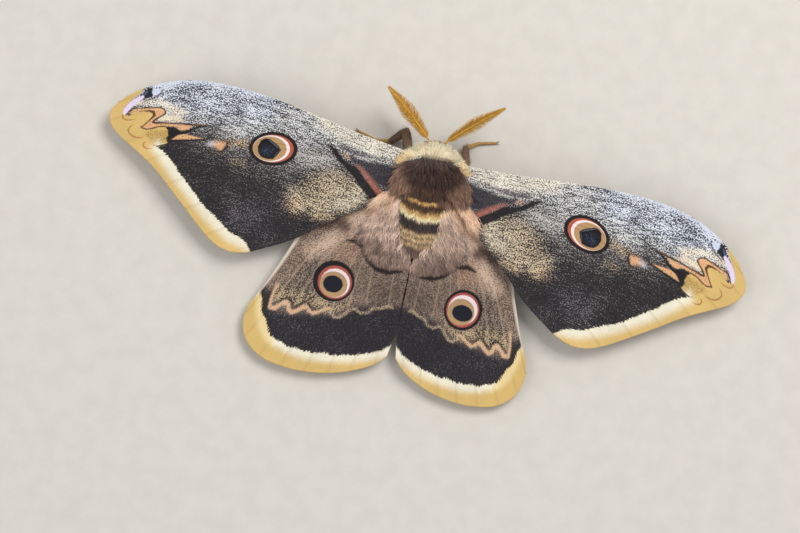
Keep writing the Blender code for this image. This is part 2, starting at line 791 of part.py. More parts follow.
def coat_pieces(rings, coat):
    """Tiers of locks over a length of the trunk, each along the lie of the coat."""
    locks = []
    low, high = (math.radians(a) for a in coat.arc)
    for tier in range(coat.tiers):
        share = coat.span[0] + (coat.span[1] - coat.span[0]) * tier / (coat.tiers - 1)
        size = sum(ring_at(rings, share)[2:]) / 2
        count = max(3, round(size * (high - low) / coat.spacing))
        for i in range(count):
            angle = low + (high - low) * (i + 0.25 + 0.5 * (tier % 2)) / count
            place, out = skin_point(rings, share, angle)
            sideways = coat.lie[0] * max(-1.0, min(1.0, place.x / 2))
            lie = Vector((sideways, coat.lie[1], coat.lie[2]))
            lie = (lie - out * lie.dot(out)).normalized()
            lie.rotate(Matrix.Rotation(random.uniform(-TURN_JITTER, TURN_JITTER), 3, out))
            length = coat.length * random.uniform(1 - LENGTH_JITTER, 1 + LENGTH_JITTER)
            if lie.y * (coat.reach - place.y) > 0:
                length = min(length, (coat.reach - place.y) / lie.y)
            width = (high - low) * size / count * min(1.0, 0.3 + length / coat.length)
            locks.append(lock_piece(place, lie, out, length, width))
    return locks


def hair_pieces(side):
    """Long hair that lies back and inwards over the inner base of a hindwing."""
    random.seed("hair " + side + SEED)
    locks = []
    edge = [(y, x) for x, y in HINDWING.inner]
    for tier in range(HAIR_TIERS):
        for i in range(HAIR_ROW):
            y = HAIR_START - HAIR_TIER_STEP * tier - HAIR_STEP * i
            x = interpolate(edge, y) + HAIR_SPACING * (i + 0.7 + 0.5 * (tier % 2))
            root = hindwing_place(side, Vector((x, y)))
            lie = (hindwing_place(side, Vector((x - HAIR_INWARDS, y - 1.0))) - root).normalized()
            lie.rotate(Matrix.Rotation(random.uniform(-TURN_JITTER, TURN_JITTER), 3, "Z"))
            out = lie.cross(Vector((-lie.y, lie.x, 0))).normalized()
            out *= math.copysign(1, out.z)
            length = HAIR_LENGTH * random.uniform(1 - LENGTH_JITTER, 1 + LENGTH_JITTER)
            locks.append(lock_piece(root, lie, out, length, HAIR_SPACING * HAIR_WIDTH, HAIR_SHAPE))
    return locks


def build():
    """Makes every piece of the animal."""
    fur_dark = material("thorax_fur", BROWN, 0.9)
    fur_pale = material("collar_fur", CREAM, 0.9)
    head_fur = material("head_fur", BROWN, 0.9)
    abdomen_fur = material("abdomen_fur", BROWN, 0.9)
    fore_finish = material("forewing", WING_BROWN, 0.8)
    hind_finish = material("hindwing", WING_TAUPE, 0.8)
    feeler = material("antenna", ORANGE, 0.6)
    leg_finish = material("leg", TAN, 0.8)
    eye_finish = material("eye", BLACK, 0.3)

    palps = [tube_piece("palp", [mirrored(p, side) for p in PALP], PALP_RADII, head_fur) for side in SIDES]
    head = coated("head", HEAD_RINGS, FACE_COATS, head_fur, palps)
    collar = coated("collar", COLLAR_RINGS, COLLAR_COATS, fur_pale)
    thorax = coated("thorax", THORAX_RINGS, THORAX_COATS, fur_dark)
    abdomen = coated("abdomen", ABDOMEN_RINGS, ABDOMEN_COATS, abdomen_fur)

    thorax_cuts = [trunk_piece("cut", rings, None, grow=GAP) for rings in (COLLAR_RINGS, ABDOMEN_RINGS)]
    collar_cuts = [trunk_piece("cut", HEAD_RINGS, None, grow=GAP)]
    abdomen_cuts = []
    head_cuts = []
    for side in SIDES:
        wing_piece("forewing_" + side, side, FOREWING, fore_finish)
        hindwing = wing_piece("hindwing_" + side, side, HINDWING, hind_finish)
        combine(hindwing, hair_pieces(side), "UNION")
        for cuts in (thorax_cuts, collar_cuts):
            cuts.append(wing_piece("cut", side, FOREWING, None, grow=GAP, rows=4))
        thorax_cuts.append(wing_piece("cut", side, HINDWING, None, grow=GAP, rows=3))
        abdomen_cuts.append(wing_piece("cut", side, HINDWING, None, grow=GAP + DRAPE_SLACK))
        for name in ("fore", "mid", "hind"):
            joints = LEGS.get(name + "_" + side, LEGS[name])
            leg_piece(name + "_leg_" + side, side, joints, leg_finish)
            for cuts in (thorax_cuts, collar_cuts, abdomen_cuts):
                cuts.append(leg_piece("cut", side, joints, None, grow=GAP, count=3))
        antenna_piece("antenna_" + side, side, feeler)
        for cuts in (head_cuts, collar_cuts):
            cuts.append(antenna_piece("cut", side, None, grow=GAP))
            cuts.append(eye_piece("cut", side, None, grow=GAP))
        eye_piece("eye_" + side, side, eye_finish)
    combine(thorax, thorax_cuts, "DIFFERENCE")
    combine(collar, collar_cuts, "DIFFERENCE")
    combine(abdomen, abdomen_cuts, "DIFFERENCE")
    combine(head, head_cuts, "DIFFERENCE")
    for obj in bpy.context.scene.objects:
        obj.data.shade_smooth()
        obj.data.set_sharp_from_angle(angle=math.radians(SHARP_ANGLE))


clear_scene()
build()
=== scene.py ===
"""The looks of a life-size male giant peacock moth at rest, its four wings spread flat.

Sizes and places are in millimetres in the animal's own body frame, as in the part's source:
+X to its right, +Y towards its head, +Z up, Y = 0 at the front of the pale collar and Z = 0
at the surface that it stands on. Marks of the wings are in the plan frame of each wing, with
x out from the hinge and y forwards. Colours are written as the 0 to 255 tones of a display.
"""

import json
import logging
import math
from dataclasses import dataclass, field, replace
from enum import Enum

import bpy
import numpy as np
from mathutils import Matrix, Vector

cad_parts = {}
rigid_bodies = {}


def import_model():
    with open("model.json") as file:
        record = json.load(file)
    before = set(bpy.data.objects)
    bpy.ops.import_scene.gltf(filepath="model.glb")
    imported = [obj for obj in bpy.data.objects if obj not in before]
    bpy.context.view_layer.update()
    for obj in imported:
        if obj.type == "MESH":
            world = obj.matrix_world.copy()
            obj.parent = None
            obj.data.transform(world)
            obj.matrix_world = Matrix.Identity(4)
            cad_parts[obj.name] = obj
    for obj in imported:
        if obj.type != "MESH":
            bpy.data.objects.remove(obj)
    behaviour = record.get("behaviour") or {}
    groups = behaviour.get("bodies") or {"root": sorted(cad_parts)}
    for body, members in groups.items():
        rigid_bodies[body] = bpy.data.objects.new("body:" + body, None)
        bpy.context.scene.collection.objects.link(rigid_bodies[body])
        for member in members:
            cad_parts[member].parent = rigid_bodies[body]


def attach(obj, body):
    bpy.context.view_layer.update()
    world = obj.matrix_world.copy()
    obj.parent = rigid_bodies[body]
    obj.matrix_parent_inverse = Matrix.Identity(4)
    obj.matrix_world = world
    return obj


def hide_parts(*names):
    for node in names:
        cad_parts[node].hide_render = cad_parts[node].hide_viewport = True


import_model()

LOG = logging.getLogger("moth")
MM = 0.001
BODY_PLACE = np.array((-0.75, 19.7, 0.0))  # place of the body frame in the model's frame
GOLDEN = (0.7548776662466927, 0.5698402909980532)  # steps of an even two-way sequence

Tone = tuple[int, int, int]
Points = tuple[tuple[float, ...], ...]


class Side(Enum):
    """The animal's own left or right."""

    LEFT = "left"
    RIGHT = "right"

    @property
    def sign(self) -> int:
        """-1 on the left, 1 on the right."""
        return -1 if self is Side.LEFT else 1


class WingKind(Enum):
    """A forewing or a hindwing."""

    FORE = "forewing"
    HIND = "hindwing"


def linear(tone: Tone) -> tuple[float, float, float, float]:
    """Turns a display tone into a scene-linear colour.

    Args:
        tone: Red, green and blue from 0 to 255.

    Returns:
        The linear colour with full alpha.
    """
    parts = [value / 255 for value in tone]
    made = [v / 12.92 if v <= 0.04045 else ((v + 0.055) / 1.055) ** 2.4 for v in parts]
    return (*made, 1.0)


def ease(value: np.ndarray) -> np.ndarray:
    """A smooth step from 0 to 1.

    Args:
        value: Any numbers.

    Returns:
        The stepped numbers.
    """
    value = np.clip(value, 0.0, 1.0)
    return value * value * (3 - 2 * value)


def unit(vectors: np.ndarray) -> np.ndarray:
    """Vectors of length 1.

    Args:
        vectors: An array whose last axis holds the vectors.

    Returns:
        The same directions at length 1.
    """
    return vectors / np.maximum(np.linalg.norm(vectors, axis=-1, keepdims=True), 1e-9)


def smooth_curve(points: Points, count: int) -> np.ndarray:
    """Evenly spaced points on a Catmull-Rom curve through the given ones.

    Args:
        points: The places that the curve goes through.
        count: How many points to make.

    Returns:
        An array of the points.
    """
    knots = np.array(points, float)
    knots = np.vstack([2 * knots[0] - knots[1], knots, 2 * knots[-1] - knots[-2]])
    t = np.arange(16)[:, None] / 16
    fine = []
    for a, b, c, d in zip(knots, knots[1:], knots[2:], knots[3:]):
        cubic = (2 * a - 5 * b + 4 * c - d) * t**2 + (3 * b - a - 3 * c + d) * t**3
        fine.append(0.5 * (2 * b + (c - a) * t + cubic))
    line = np.vstack([*fine, knots[-2][None]])
    lengths = np.concatenate([[0.0], np.cumsum(np.linalg.norm(np.diff(line, axis=0), axis=1))])
    goals = np.linspace(0.0, lengths[-1], count)
    return np.stack([np.interp(goals, lengths, line[:, i]) for i in range(line.shape[1])], axis=1)


def at_share(curve: np.ndarray, share: np.ndarray) -> np.ndarray:
    """Points at shares of an evenly spaced curve's length.

    Args:
        curve: The curve's points.
        share: Shares from 0 to 1.

    Returns:
        The points there.
    """
    places = np.linspace(0.0, 1.0, len(curve))
    return np.stack([np.interp(share, places, curve[:, i]) for i in range(curve.shape[1])], axis=-1)


def segment_distance(points: np.ndarray, a: np.ndarray, b: np.ndarray) -> tuple[np.ndarray, np.ndarray]:
    """How far points are from a segment.

    Args:
        points: Places in a plane.
        a: The segment's start.
        b: The segment's end.

    Returns:
        The distance of each point, and the share of the segment nearest to it.
    """
    run = b - a
    share = np.clip(((points - a) @ run) / max(float(run @ run), 1e-12), 0.0, 1.0)
    return np.linalg.norm(points - a - share[:, None] * run, axis=1), share


@dataclass(frozen=True)
class Patch:
    """A filled area of a wing, given by its corners in the wing's plan."""

    corners: Points

    def distance(self, points: np.ndarray) -> np.ndarray:
        """Signed distance to the edge, below 0 inside.

        Args:
            points: Places in the plan.

        Returns:
            A distance for each place.
        """
        corners = np.array(self.corners, float)
        near = np.full(len(points), 1e9)
        inside = np.zeros(len(points), bool)
        for a, b in zip(corners, np.roll(corners, -1, axis=0)):
            near = np.minimum(near, segment_distance(points, a, b)[0])
            rise = b[1] - a[1]
            crosses = (a[1] > points[:, 1]) != (b[1] > points[:, 1])
            reach = a[0] + (points[:, 1] - a[1]) * (b[0] - a[0]) / (rise if rise else 1e-9)
            inside ^= crosses & (points[:, 0] < reach)
        return np.where(inside, -near, near)


@dataclass(frozen=True)
class Stroke:
    """A drawn line of a wing: places with the line's width at each."""

    path: Points

    def distance(self, points: np.ndarray) -> np.ndarray:
        """Signed distance to the line's edge, below 0 inside.

        Args:
            points: Places in the plan.

        Returns:
            A distance for each place.
        """
        path = np.array(self.path, float)
        near = np.full(len(points), 1e9)
        for a, b in zip(path, path[1:]):
            away, share = segment_distance(points, a[:2], b[:2])
            near = np.minimum(near, away - (a[2] + (b[2] - a[2]) * share) / 2)
        return near


@dataclass(frozen=True)
class Spot:
    """A filled ellipse of a wing."""

    x: float
    y: float
    along: float
    across: float
    turn: float = 0.0

    def distance(self, points: np.ndarray) -> np.ndarray:
        """Rough signed distance to the edge, below 0 inside.

        Args:
            points: Places in the plan.

        Returns:
            A distance for each place.
        """
        turn = math.radians(self.turn)
        off = points - (self.x, self.y)
        x = off[:, 0] * math.cos(turn) + off[:, 1] * math.sin(turn)
        y = off[:, 1] * math.cos(turn) - off[:, 0] * math.sin(turn)
        level = np.maximum(np.hypot(x / self.along, y / self.across), 1e-6)
        return np.maximum(np.hypot(x, y), 1e-6) * (1 - 1 / level)


@dataclass(frozen=True)
class Mark:
    """One colour laid over a wing inside its shapes, in the order of the list."""

    name: str
    tone: Tone
    shapes: tuple
    soft: float = 0.12  # how far its edge fades
    ragged: float = 0.06  # how far its edge strays
    strength: float = 1.0
    inside: bool = False  # it stays inside the border
    pepper: float = 1.0  # the share of scales that carry it


@dataclass(frozen=True)
class Zone:
    """A soft-edged region of a wing with its own mix of pale and dark scales."""

    corners: Points
    share: float
    light: Tone
    dark: Tone
    soft: float = 1.5


@dataclass(frozen=True)
class Vein:
    """One vein's run across a wing, from 0 at the front edge to 1 at the inner margin."""

    root: float
    end: float
    fork: float = 0.0
    stop: float = 1.0


class Brush:
    """Lays nodes in one material, in a maker's few steps."""

    def __init__(self, name: str) -> None:
        """Starts a material with its shader.

        Args:
            name: The material's name.
        """
        self.material = bpy.data.materials.new(name)
        self.material.use_nodes = True
        self.nodes = self.material.node_tree.nodes
        self.links = self.material.node_tree.links
        self.shader = self.nodes["Principled BSDF"]

    def link(self, source: object, target: object) -> None:
        """Feeds a socket, or sets it where the source is a plain value.

        Args:
            source: An output socket, a number or a colour.
            target: The input socket.
        """
        if isinstance(source, bpy.types.NodeSocket):
            self.links.new(source, target)
        else:
            target.default_value = source

    def attribute(self, name: str, output: str = "Fac") -> bpy.types.NodeSocket:
        """Reads a mesh attribute.

        Args:
            name: The attribute's name.
            output: Which of its sockets to use.

        Returns:
            The socket.
        """
        node = self.nodes.new("ShaderNodeAttribute")
        node.attribute_name = name
        return node.outputs[output]

    def objects(self, scale: tuple[float, float, float] = (1, 1, 1)) -> bpy.types.NodeSocket:
        """The place on the piece itself, in metres times a scale.

        Args:
            scale: How much each axis is stretched.

        Returns:
            The socket.
        """
        return self.stretch(self.nodes.new("ShaderNodeTexCoord").outputs["Object"], scale)

    def stretch(self, vector: bpy.types.NodeSocket, scale: tuple[float, float, float]) -> bpy.types.NodeSocket:
        """Scales a place.

        Args:
            vector: The place.
            scale: How much each axis is stretched.

        Returns:
            The socket.
        """
        node = self.nodes.new("ShaderNodeMapping")
        self.link(vector, node.inputs["Vector"])
        node.inputs["Scale"].default_value = scale
        return node.outputs["Vector"]

    def noise(self, vector: object, scale: float, detail: float = 2.0, rough: float = 0.5) -> bpy.types.NodeSocket:
        """Soft noise between 0 and 1.

        Args:
            vector: Where to read it.
            scale: How fine it is.
            detail: How many layers it has.
            rough: How strong the finer layers are.

        Returns:
            The socket.
        """
        node = self.nodes.new("ShaderNodeTexNoise")
        self.link(vector, node.inputs["Vector"])
        node.inputs["Scale"].default_value = scale
        node.inputs["Detail"].default_value = detail
        node.inputs["Roughness"].default_value = rough
        return node.outputs["Fac"]

    def cells(self, vector: object, scale: float) -> bpy.types.NodeSocket:
        """Distance to the nearest of scattered points.

        Args:
            vector: Where to read it.
            scale: How close the points are.

        Returns:
            The socket.
        """
        node = self.nodes.new("ShaderNodeTexVoronoi")
        self.link(vector, node.inputs["Vector"])
        node.inputs["Scale"].default_value = scale
        return node.outputs["Distance"]

    def sum(self, operation: str, a: object, b: object, c: object = 0.0) -> bpy.types.NodeSocket:
        """Arithmetic on numbers.

        Args:
            operation: The name of the step, such as ADD.
            a: First number.
            b: Second number.
            c: Third number, for steps that use it.

        Returns:
            The result.
        """
        node = self.nodes.new("ShaderNodeMath")
        node.operation = operation
        for value, socket in zip((a, b, c), node.inputs):
            self.link(value, socket)
        return node.outputs[0]

    def step(self, value: object, low: float, high: float, start: float = 0.0,
             end: float = 1.0) -> bpy.types.NodeSocket:
        """A smooth step between two values.

        Args:
            value: The number that runs.
            low: Where the step starts.
            high: Where it ends.
            start: The result before it.
            end: The result after it.

        Returns:
            The result.
        """
        node = self.nodes.new("ShaderNodeMapRange")
        node.interpolation_type = "SMOOTHSTEP"
        self.link(value, node.inputs["Value"])
        node.inputs["From Min"].default_value = low
        node.inputs["From Max"].default_value = high
        node.inputs["To Min"].default_value = start
        node.inputs["To Max"].default_value = end
        return node.outputs[0]

    def mix(self, factor: object, a: object, b: object, blend: str = "MIX") -> bpy.types.NodeSocket:
        """Mixes two colours.

        Args:
            factor: How much of the second.
            a: First colour.
            b: Second colour.
            blend: How they mix.

        Returns:
            The mixed colour.
        """
        node = self.nodes.new("ShaderNodeMix")
        node.data_type = "RGBA"
        node.blend_type = blend
        self.link(factor, node.inputs[0])
        self.link(a, node.inputs[6])
        self.link(b, node.inputs[7])
        return node.outputs[2]

    def blend(self, a: object, b: object, share: float) -> bpy.types.NodeSocket:
        """Mixes two numbers.

        Args:
            a: First number.
            b: Second number.
            share: How much of the second.

        Returns:
            The mixed number.
        """
        return self.sum("ADD", self.sum("MULTIPLY", a, 1 - share), self.sum("MULTIPLY", b, share))

    def bump(self, height: object, strength: float, distance: float) -> None:
        """Gives the surface fine relief.

        Args:
            height: The relief.
            strength: How strong it is.
            distance: How deep it is, in metres.
        """
        node = self.nodes.new("ShaderNodeBump")
        node.inputs["Strength"].default_value = strength
        node.inputs["Distance"].default_value = distance
        self.link(height, node.inputs["Height"])
        self.links.new(node.outputs["Normal"], self.shader.inputs["Normal"])

    def surface(self, color: object, roughness: object, sheen: float = 0.0,
                specular: float = 0.3) -> bpy.types.Material:
        """Finishes the material.

        Args:
            color: Its colour.
            roughness: Its roughness.
            sheen: How much soft sheen it has.
            specular: How strongly it reflects.

        Returns:
            The material.
        """
        self.link(color, self.shader.inputs["Base Color"])
        self.link(roughness, self.shader.inputs["Roughness"])
        self.shader.inputs["Sheen Weight"].default_value = sheen
        self.shader.inputs["Sheen Roughness"].default_value = 0.5
        self.shader.inputs["Specular IOR Level"].default_value = specular
        return self.material


def start_piece(name: str) -> bpy.types.Object:
    """Names the object that an operator has just made.

    Args:
        name: The piece's name.

    Returns:
        The object.
    """
    obj = bpy.context.object
    obj.name = name
    obj.data.name = name
    return obj


def deselect() -> None:
    """Leaves nothing selected."""
    bpy.ops.object.select_all(action="DESELECT")


def read_places(obj: bpy.types.Object) -> np.ndarray:
    """The places of an object's vertices.

    Args:
        obj: A mesh object.

    Returns:
        An array of places.
    """
    places = np.empty(len(obj.data.vertices) * 3)
    obj.data.vertices.foreach_get("co", places)
    return places.reshape(-1, 3)


def place_vertices(obj: bpy.types.Object, places: np.ndarray) -> None:
    """Moves an object's vertices to places in the body frame.

    Args:
        obj: A mesh object at the origin.
        places: A place in millimetres for each vertex.
    """
    obj.data.vertices.foreach_set("co", ((places + BODY_PLACE) * MM).ravel())
    obj.data.update()


def store(obj: bpy.types.Object, name: str, values: np.ndarray) -> None:
    """Writes one value, vector or colour for each vertex.

    Args:
        obj: A mesh object.
        name: The attribute's name.
        values: The numbers, with one, three or four in each row.
    """
    width = 1 if values.ndim == 1 else values.shape[1]
    kind, key = {1: ("FLOAT", "value"), 3: ("FLOAT_VECTOR", "vector"), 4: ("FLOAT_COLOR", "color")}[width]
    made = obj.data.attributes.new(name, kind, "POINT")
    made.data.foreach_set(key, np.ascontiguousarray(values, dtype=np.float32).ravel())


def dress(obj: bpy.types.Object, finish: bpy.types.Material,
          nodes: tuple[str, ...] = ()) -> bpy.types.Object:
    """Gives a piece its finish and its place in the frame.

    Args:
        obj: The piece.
        finish: Its material.
        nodes: The solids that it stands for.

    Returns:
        The piece.
    """
    obj.data.materials.clear()
    obj.data.materials.append(finish)
    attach(obj, "root")
    if nodes:
        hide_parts(*nodes)
    LOG.info("%s: %d faces", obj.name, len(obj.data.polygons))
    return obj


def cut_across(obj: bpy.types.Object, cuts: int) -> None:
    """Cuts a new prism across, through its long edges only, and leaves it in edit mode.

    Args:
        obj: The prism, upright and 2 high.
        cuts: How many cuts to make.
    """
    bpy.ops.object.mode_set(mode="EDIT")
    bpy.ops.mesh.select_mode(type="EDGE")
    bpy.ops.mesh.select_all(action="DESELECT")
    bpy.ops.object.mode_set(mode="OBJECT")
    for edge in obj.data.edges:
        ends = [obj.data.vertices[i].co for i in edge.vertices]
        edge.select = abs(ends[0].z - ends[1].z) > 1
    bpy.ops.object.mode_set(mode="EDIT")
    bpy.ops.mesh.subdivide(number_cuts=cuts)


def tube(name: str, path: np.ndarray, radii: np.ndarray, sides: int, flat: float = 1.0) -> bpy.types.Object:
    """A round rod bent along a path, made from a cylinder cut across and then curved.

    Args:
        name: The piece's name.
        path: Places along its middle, in the body frame.
        radii: The radius at each.
        sides: How many sides it has.
        flat: How thick it is against its width.

    Returns:
        The rod.
    """
    deselect()
    bpy.ops.mesh.primitive_cylinder_add(vertices=sides, radius=1, depth=2, end_fill_type="TRIFAN")
    obj = start_piece(name)
    cut_across(obj, len(path) - 2)
    bpy.ops.mesh.select_all(action="SELECT")
    bpy.ops.mesh.normals_make_consistent(inside=False)
    bpy.ops.object.mode_set(mode="OBJECT")
    shape = read_places(obj)
    share = (shape[:, 2] + 1) / 2
    along = unit(np.gradient(path, axis=0))
    across = unit(np.cross(along, (0.0, 0.0, 1.0)))
    up = np.cross(across, along)
    centre, side, top = (at_share(a, share) for a in (path, across, up))
    radius = np.interp(share, np.linspace(0, 1, len(radii)), radii)[:, None]
    place_vertices(obj, centre + side * shape[:, :1] * radius + top * shape[:, 1:2] * radius * flat)
    return obj


@dataclass(frozen=True)
class Strand:
    """The shape of one tuft: where it tapers and how it bends over along the lie."""

    rings: int = 3
    rise: float = 0.5  # how steeply it leaves the skin
    droop: float = 0.5  # how much it lies down again
    thickness: float = 0.45  # against its width
    wave: float = 0.0  # how far it winds from side to side

    def template(self) -> tuple[np.ndarray, np.ndarray]:
        """One tuft from a three-sided cylinder cut across and drawn to a point.

        Returns:
            Its vertices, as two cross-section places and a share of its length, and its triangles.
        """
        deselect()
        bpy.ops.mesh.primitive_cylinder_add(vertices=3, radius=1, depth=2, end_fill_type="NGON")
        obj = start_piece("tuft_template")
        cut_across(obj, self.rings)
        bpy.ops.mesh.select_mode(type="VERT")
        bpy.ops.mesh.select_all(action="DESELECT")
        bpy.ops.object.mode_set(mode="OBJECT")
        for vertex in obj.data.vertices:
            vertex.select = vertex.co.z > 0.99
        bpy.ops.object.mode_set(mode="EDIT")
        bpy.ops.mesh.merge(type="CENTER")
        bpy.ops.mesh.select_all(action="SELECT")
        bpy.ops.mesh.quads_convert_to_tris()
        bpy.ops.mesh.normals_make_consistent(inside=False)
        bpy.ops.object.mode_set(mode="OBJECT")
        shape = read_places(obj)
        shape[:, 2] = (shape[:, 2] + 1) / 2
        faces = np.array([list(p.vertices) for p in obj.data.polygons])
        mesh = obj.data
        bpy.data.objects.remove(obj)
        bpy.data.meshes.remove(mesh)
        return shape, faces


@dataclass
class Roots:
    """Where tufts grow: a row of numbers for each tuft."""

    place: np.ndarray
    out: np.ndarray
    lie: np.ndarray
    length: np.ndarray
    width: np.ndarray
    patch: np.ndarray  # its place on an unwrap of the skin
    shade: np.ndarray  # its lock's lightness, from 0 to 1, with guard hairs at 1 as a painted highlight

    def gathered(self, size: int, pull: float, seed: int) -> "Roots":
        """Draws neighbouring tufts together into locks of their own lightness, with guard hairs over them that are
        painted paler as a highlight on the top strands.

        Args:
            size: How many tufts are in a lock.
            pull: How far their tips are drawn together.
            seed: Seed for the choice of locks.

        Returns:
            The gathered roots.
        """
        rng = np.random.default_rng(seed)
        guard = np.arange(len(self.place)) % GUARD_EVERY == 0
        heads = rng.choice(len(self.place), max(len(self.place) // size, 1), replace=False)
        away = np.linalg.norm(self.place[:, None] - self.place[heads][None], axis=2)
        lock = np.argmin(away, axis=1)
        length = self.length[:, None]
        tip = self.place[heads][lock] + self.lie[heads][lock] * length
        lie = unit((tip - self.place) * pull + self.lie * length * (1 - pull))
        lie = unit(lie - self.out * np.sum(lie * self.out, axis=1, keepdims=True))
        # Guard hairs get the full shade of 1: a painted highlight on the strands that lie on top.
        shade = np.where(guard, 1.0, LOCK_SHADES * rng.random(len(heads))[lock])
        place = self.place + self.out * (GUARD_LIFT * guard)[:, None]
        return replace(self, place=place, lie=lie, shade=shade, width=self.width * np.where(guard, GUARD_WIDTH, 1.0))


PATCH_SIZE = 0.003  # side of each tuft's own patch on the unwrap
ROOT_DEPTH = 0.08  # share of a tuft's length that starts below the skin
CURL = 0.10  # how far tufts stray sideways at their tips
WAVE_TURNS = 1.6  # how often a wavy tuft winds along its length
FLATNESS = 0.7  # how flat the sides of a finely cut tuft are shaded, where 1 is flat
LOCK_SHADES = 0.7  # the lightest lock's shade, where a guard hair's is 1
GUARD_EVERY = 7  # one tuft in so many is a guard hair, wider and over the rest, painted pale as a highlight on the top strands
GUARD_WIDTH = 1.7
GUARD_LIFT = 0.12


def grow(name: str, roots: Roots, strand: Strand, tones: "Coloring", seed: int) -> bpy.types.Object:
    """A coat: one mesh that holds a tuft at each root.

    Args:
        name: The piece's name.
        roots: Where and how the tufts grow.
        strand: Their shape.
        tones: Their colours.
        seed: Seed for their small differences.

    Returns:
        The coat.
    """
    rng = np.random.default_rng(seed)
    shape, faces = strand.template()
    count, corners = len(roots.place), len(shape)
    t = shape[:, 2][None, :, None]
    curl = rng.normal(0.0, CURL, (count, 1, 1))
    across = unit(np.cross(roots.lie, roots.out))[:, None]
    lie, out = roots.lie[:, None], roots.out[:, None]
    length, width = roots.length[:, None, None], roots.width[:, None, None]
    spine = roots.place[:, None] - out * (ROOT_DEPTH * length)
    run = lie * (0.55 * t + 0.45 * t**2) + out * strand.rise * (t - strand.droop * t**2) + across * curl * t**2
    phase = roots.shade[:, None, None] + 0.3 * rng.random((count, 1, 1))
    run = run + across * strand.wave * t * np.sin(2 * math.pi * (WAVE_TURNS * t + phase))
    spine = spine + run * length
    taper = np.where(t < 0.25, 0.7 + 1.2 * t, 1.0) * (1 - t**2.2)
    body = across * shape[None, :, :1] + out * shape[None, :, 1:2] * strand.thickness
    places = spine + body * width * 0.5 * taper
    mesh = bpy.data.meshes.new(name)
    mesh.vertices.add(count * corners)
    index = (faces[None] + (np.arange(count) * corners)[:, None, None]).reshape(-1, 3)
    mesh.loops.add(index.size)
    mesh.polygons.add(len(index))
    mesh.loops.foreach_set("vertex_index", index.ravel().astype(np.int32))
    mesh.polygons.foreach_set("loop_start", (np.arange(len(index)) * 3).astype(np.int32))
    obj = bpy.data.objects.new(name, mesh)
    bpy.context.scene.collection.objects.link(obj)
    place_vertices(obj, places.reshape(-1, 3))
    mesh.update(calc_edges=True)
    patch = roots.patch[:, None] + np.stack([shape[:, 0] * 0.5, shape[:, 2]], axis=1)[None] * PATCH_SIZE
    uv = mesh.uv_layers.new(name="OFBake")
    uv.uv.foreach_set("vector", patch.reshape(-1, 2)[index.ravel()].astype(np.float32).ravel())
    along = np.repeat(shape[None, :, 2], count, axis=0).ravel()
    tint = np.repeat((0.45 * rng.random(count) + 0.55 * roots.shade)[:, None], corners, axis=1).ravel()
    store(obj, "fur", tones.colours(places.reshape(-1, 3), np.repeat(roots.place, corners, axis=0), along, tint))
    mesh.shade_smooth()
    flatten_sides(mesh, index, FLATNESS * (1 - 2 / (strand.rings + 1)))
    return obj


def flatten_sides(mesh: bpy.types.Mesh, index: np.ndarray, share: float) -> None:
    """Shades the sides of tufts partly flat, so that their three corners look narrowly rounded.

    Args:
        mesh: The coat's mesh, shaded smooth.
        index: The vertices of its triangles.
        share: How flat the sides are, from 0 for smooth to 1 for flat.
    """
    smooth, flat = (np.empty((len(a), 3), np.float32) for a in (mesh.vertices, mesh.polygons))
    mesh.vertex_normals.foreach_get("vector", smooth.ravel())
    mesh.polygon_normals.foreach_get("vector", flat.ravel())
    blend = smooth[index] * (1 - share) + flat[:, None] * share
    mesh.normals_split_custom_set(unit(blend.reshape(-1, 3)))


@dataclass(frozen=True)
class Band:
    """A length of the trunk with its own fur colour, from front to back."""

    front: float
    tone: Tone


@dataclass(frozen=True)
class Coloring:
    """Fur colours in bands along the trunk, varied from tuft to tuft."""

    bands: tuple[Band, ...]
    vary: float = 0.22
    wave: float = 0.35  # how far the bands' edges stray
    soft: float = 0.35
    tip: float = 1.25  # how much lighter the tips are than the roots, which are painted darker as shade deep in the fur
    bow: float = 0.035  # how the bands bow forwards at the sides
    flank: Tone | None = None  # a second colour at the sides
    flank_start: float = 6.2  # how far out it starts at the thorax's front

    def colours(self, places: np.ndarray, roots: np.ndarray, along: np.ndarray, tint: np.ndarray) -> np.ndarray:
        """The colour of each vertex.

        Args:
            places: Places of the vertices in the body frame.
            roots: Places of the roots of the tufts that they belong to.
            along: Shares of the tufts' length.
            tint: A random number for each tuft.

        Returns:
            Linear colours.
        """
        station = places[:, 1] + self.wave * np.sin(roots[:, 0] * 2.3 + tint * 2.6) * 0.6
        station = station + self.arch(places[:, 0])
        made = np.tile(np.array(linear(self.bands[0].tone)), (len(places), 1))
        for band in self.bands[1:]:
            share = ease((band.front - station) / self.soft + 0.5)[:, None]
            made = made * (1 - share) + np.array(linear(band.tone)) * share
        if self.flank:
            start = self.flank_start + 0.7 * np.clip(places[:, 1] + 6.2, -5.0, 0.0) + 2.0 * (tint - 0.5)
            share = ease((np.abs(places[:, 0] - 0.5) - start) / 2.4 + 0.5)[:, None]
            made = made * (1 - share) + np.array(linear(self.flank)) * share
        # Painted shade: each tuft darkens from its tip towards its root, as if shaded deep in the fur; tint varies it
        # from tuft to tuft.
        light = (1 - self.vary + 2 * self.vary * tint) * (0.62 + (self.tip - 0.62) * along**0.8)
        made[:, :3] *= light[:, None]
        return np.clip(made, 0.0, 1.0)

    def arch(self, across: np.ndarray) -> np.ndarray:
        """How far the bands bow forwards at the sides."""
        return -self.bow * across**2


def fur_finish(name: str, sheen: float) -> bpy.types.Material:
    """The finish of any coat: its tufts' own colours with fine streaks.

    Args:
        name: The material's name.
        sheen: How much soft sheen it has.

    Returns:
        The material.
    """
    brush = Brush(name)
    streak = brush.noise(brush.objects(), 5200, 2)
    shade = brush.step(streak, 0.3, 0.7, 0.78, 1.15)
    color = brush.mix(1.0, brush.attribute("fur", "Color"), shade, "MULTIPLY")
    return brush.surface(color, brush.step(streak, 0.2, 0.8, 0.62, 0.85), sheen, 0.25)


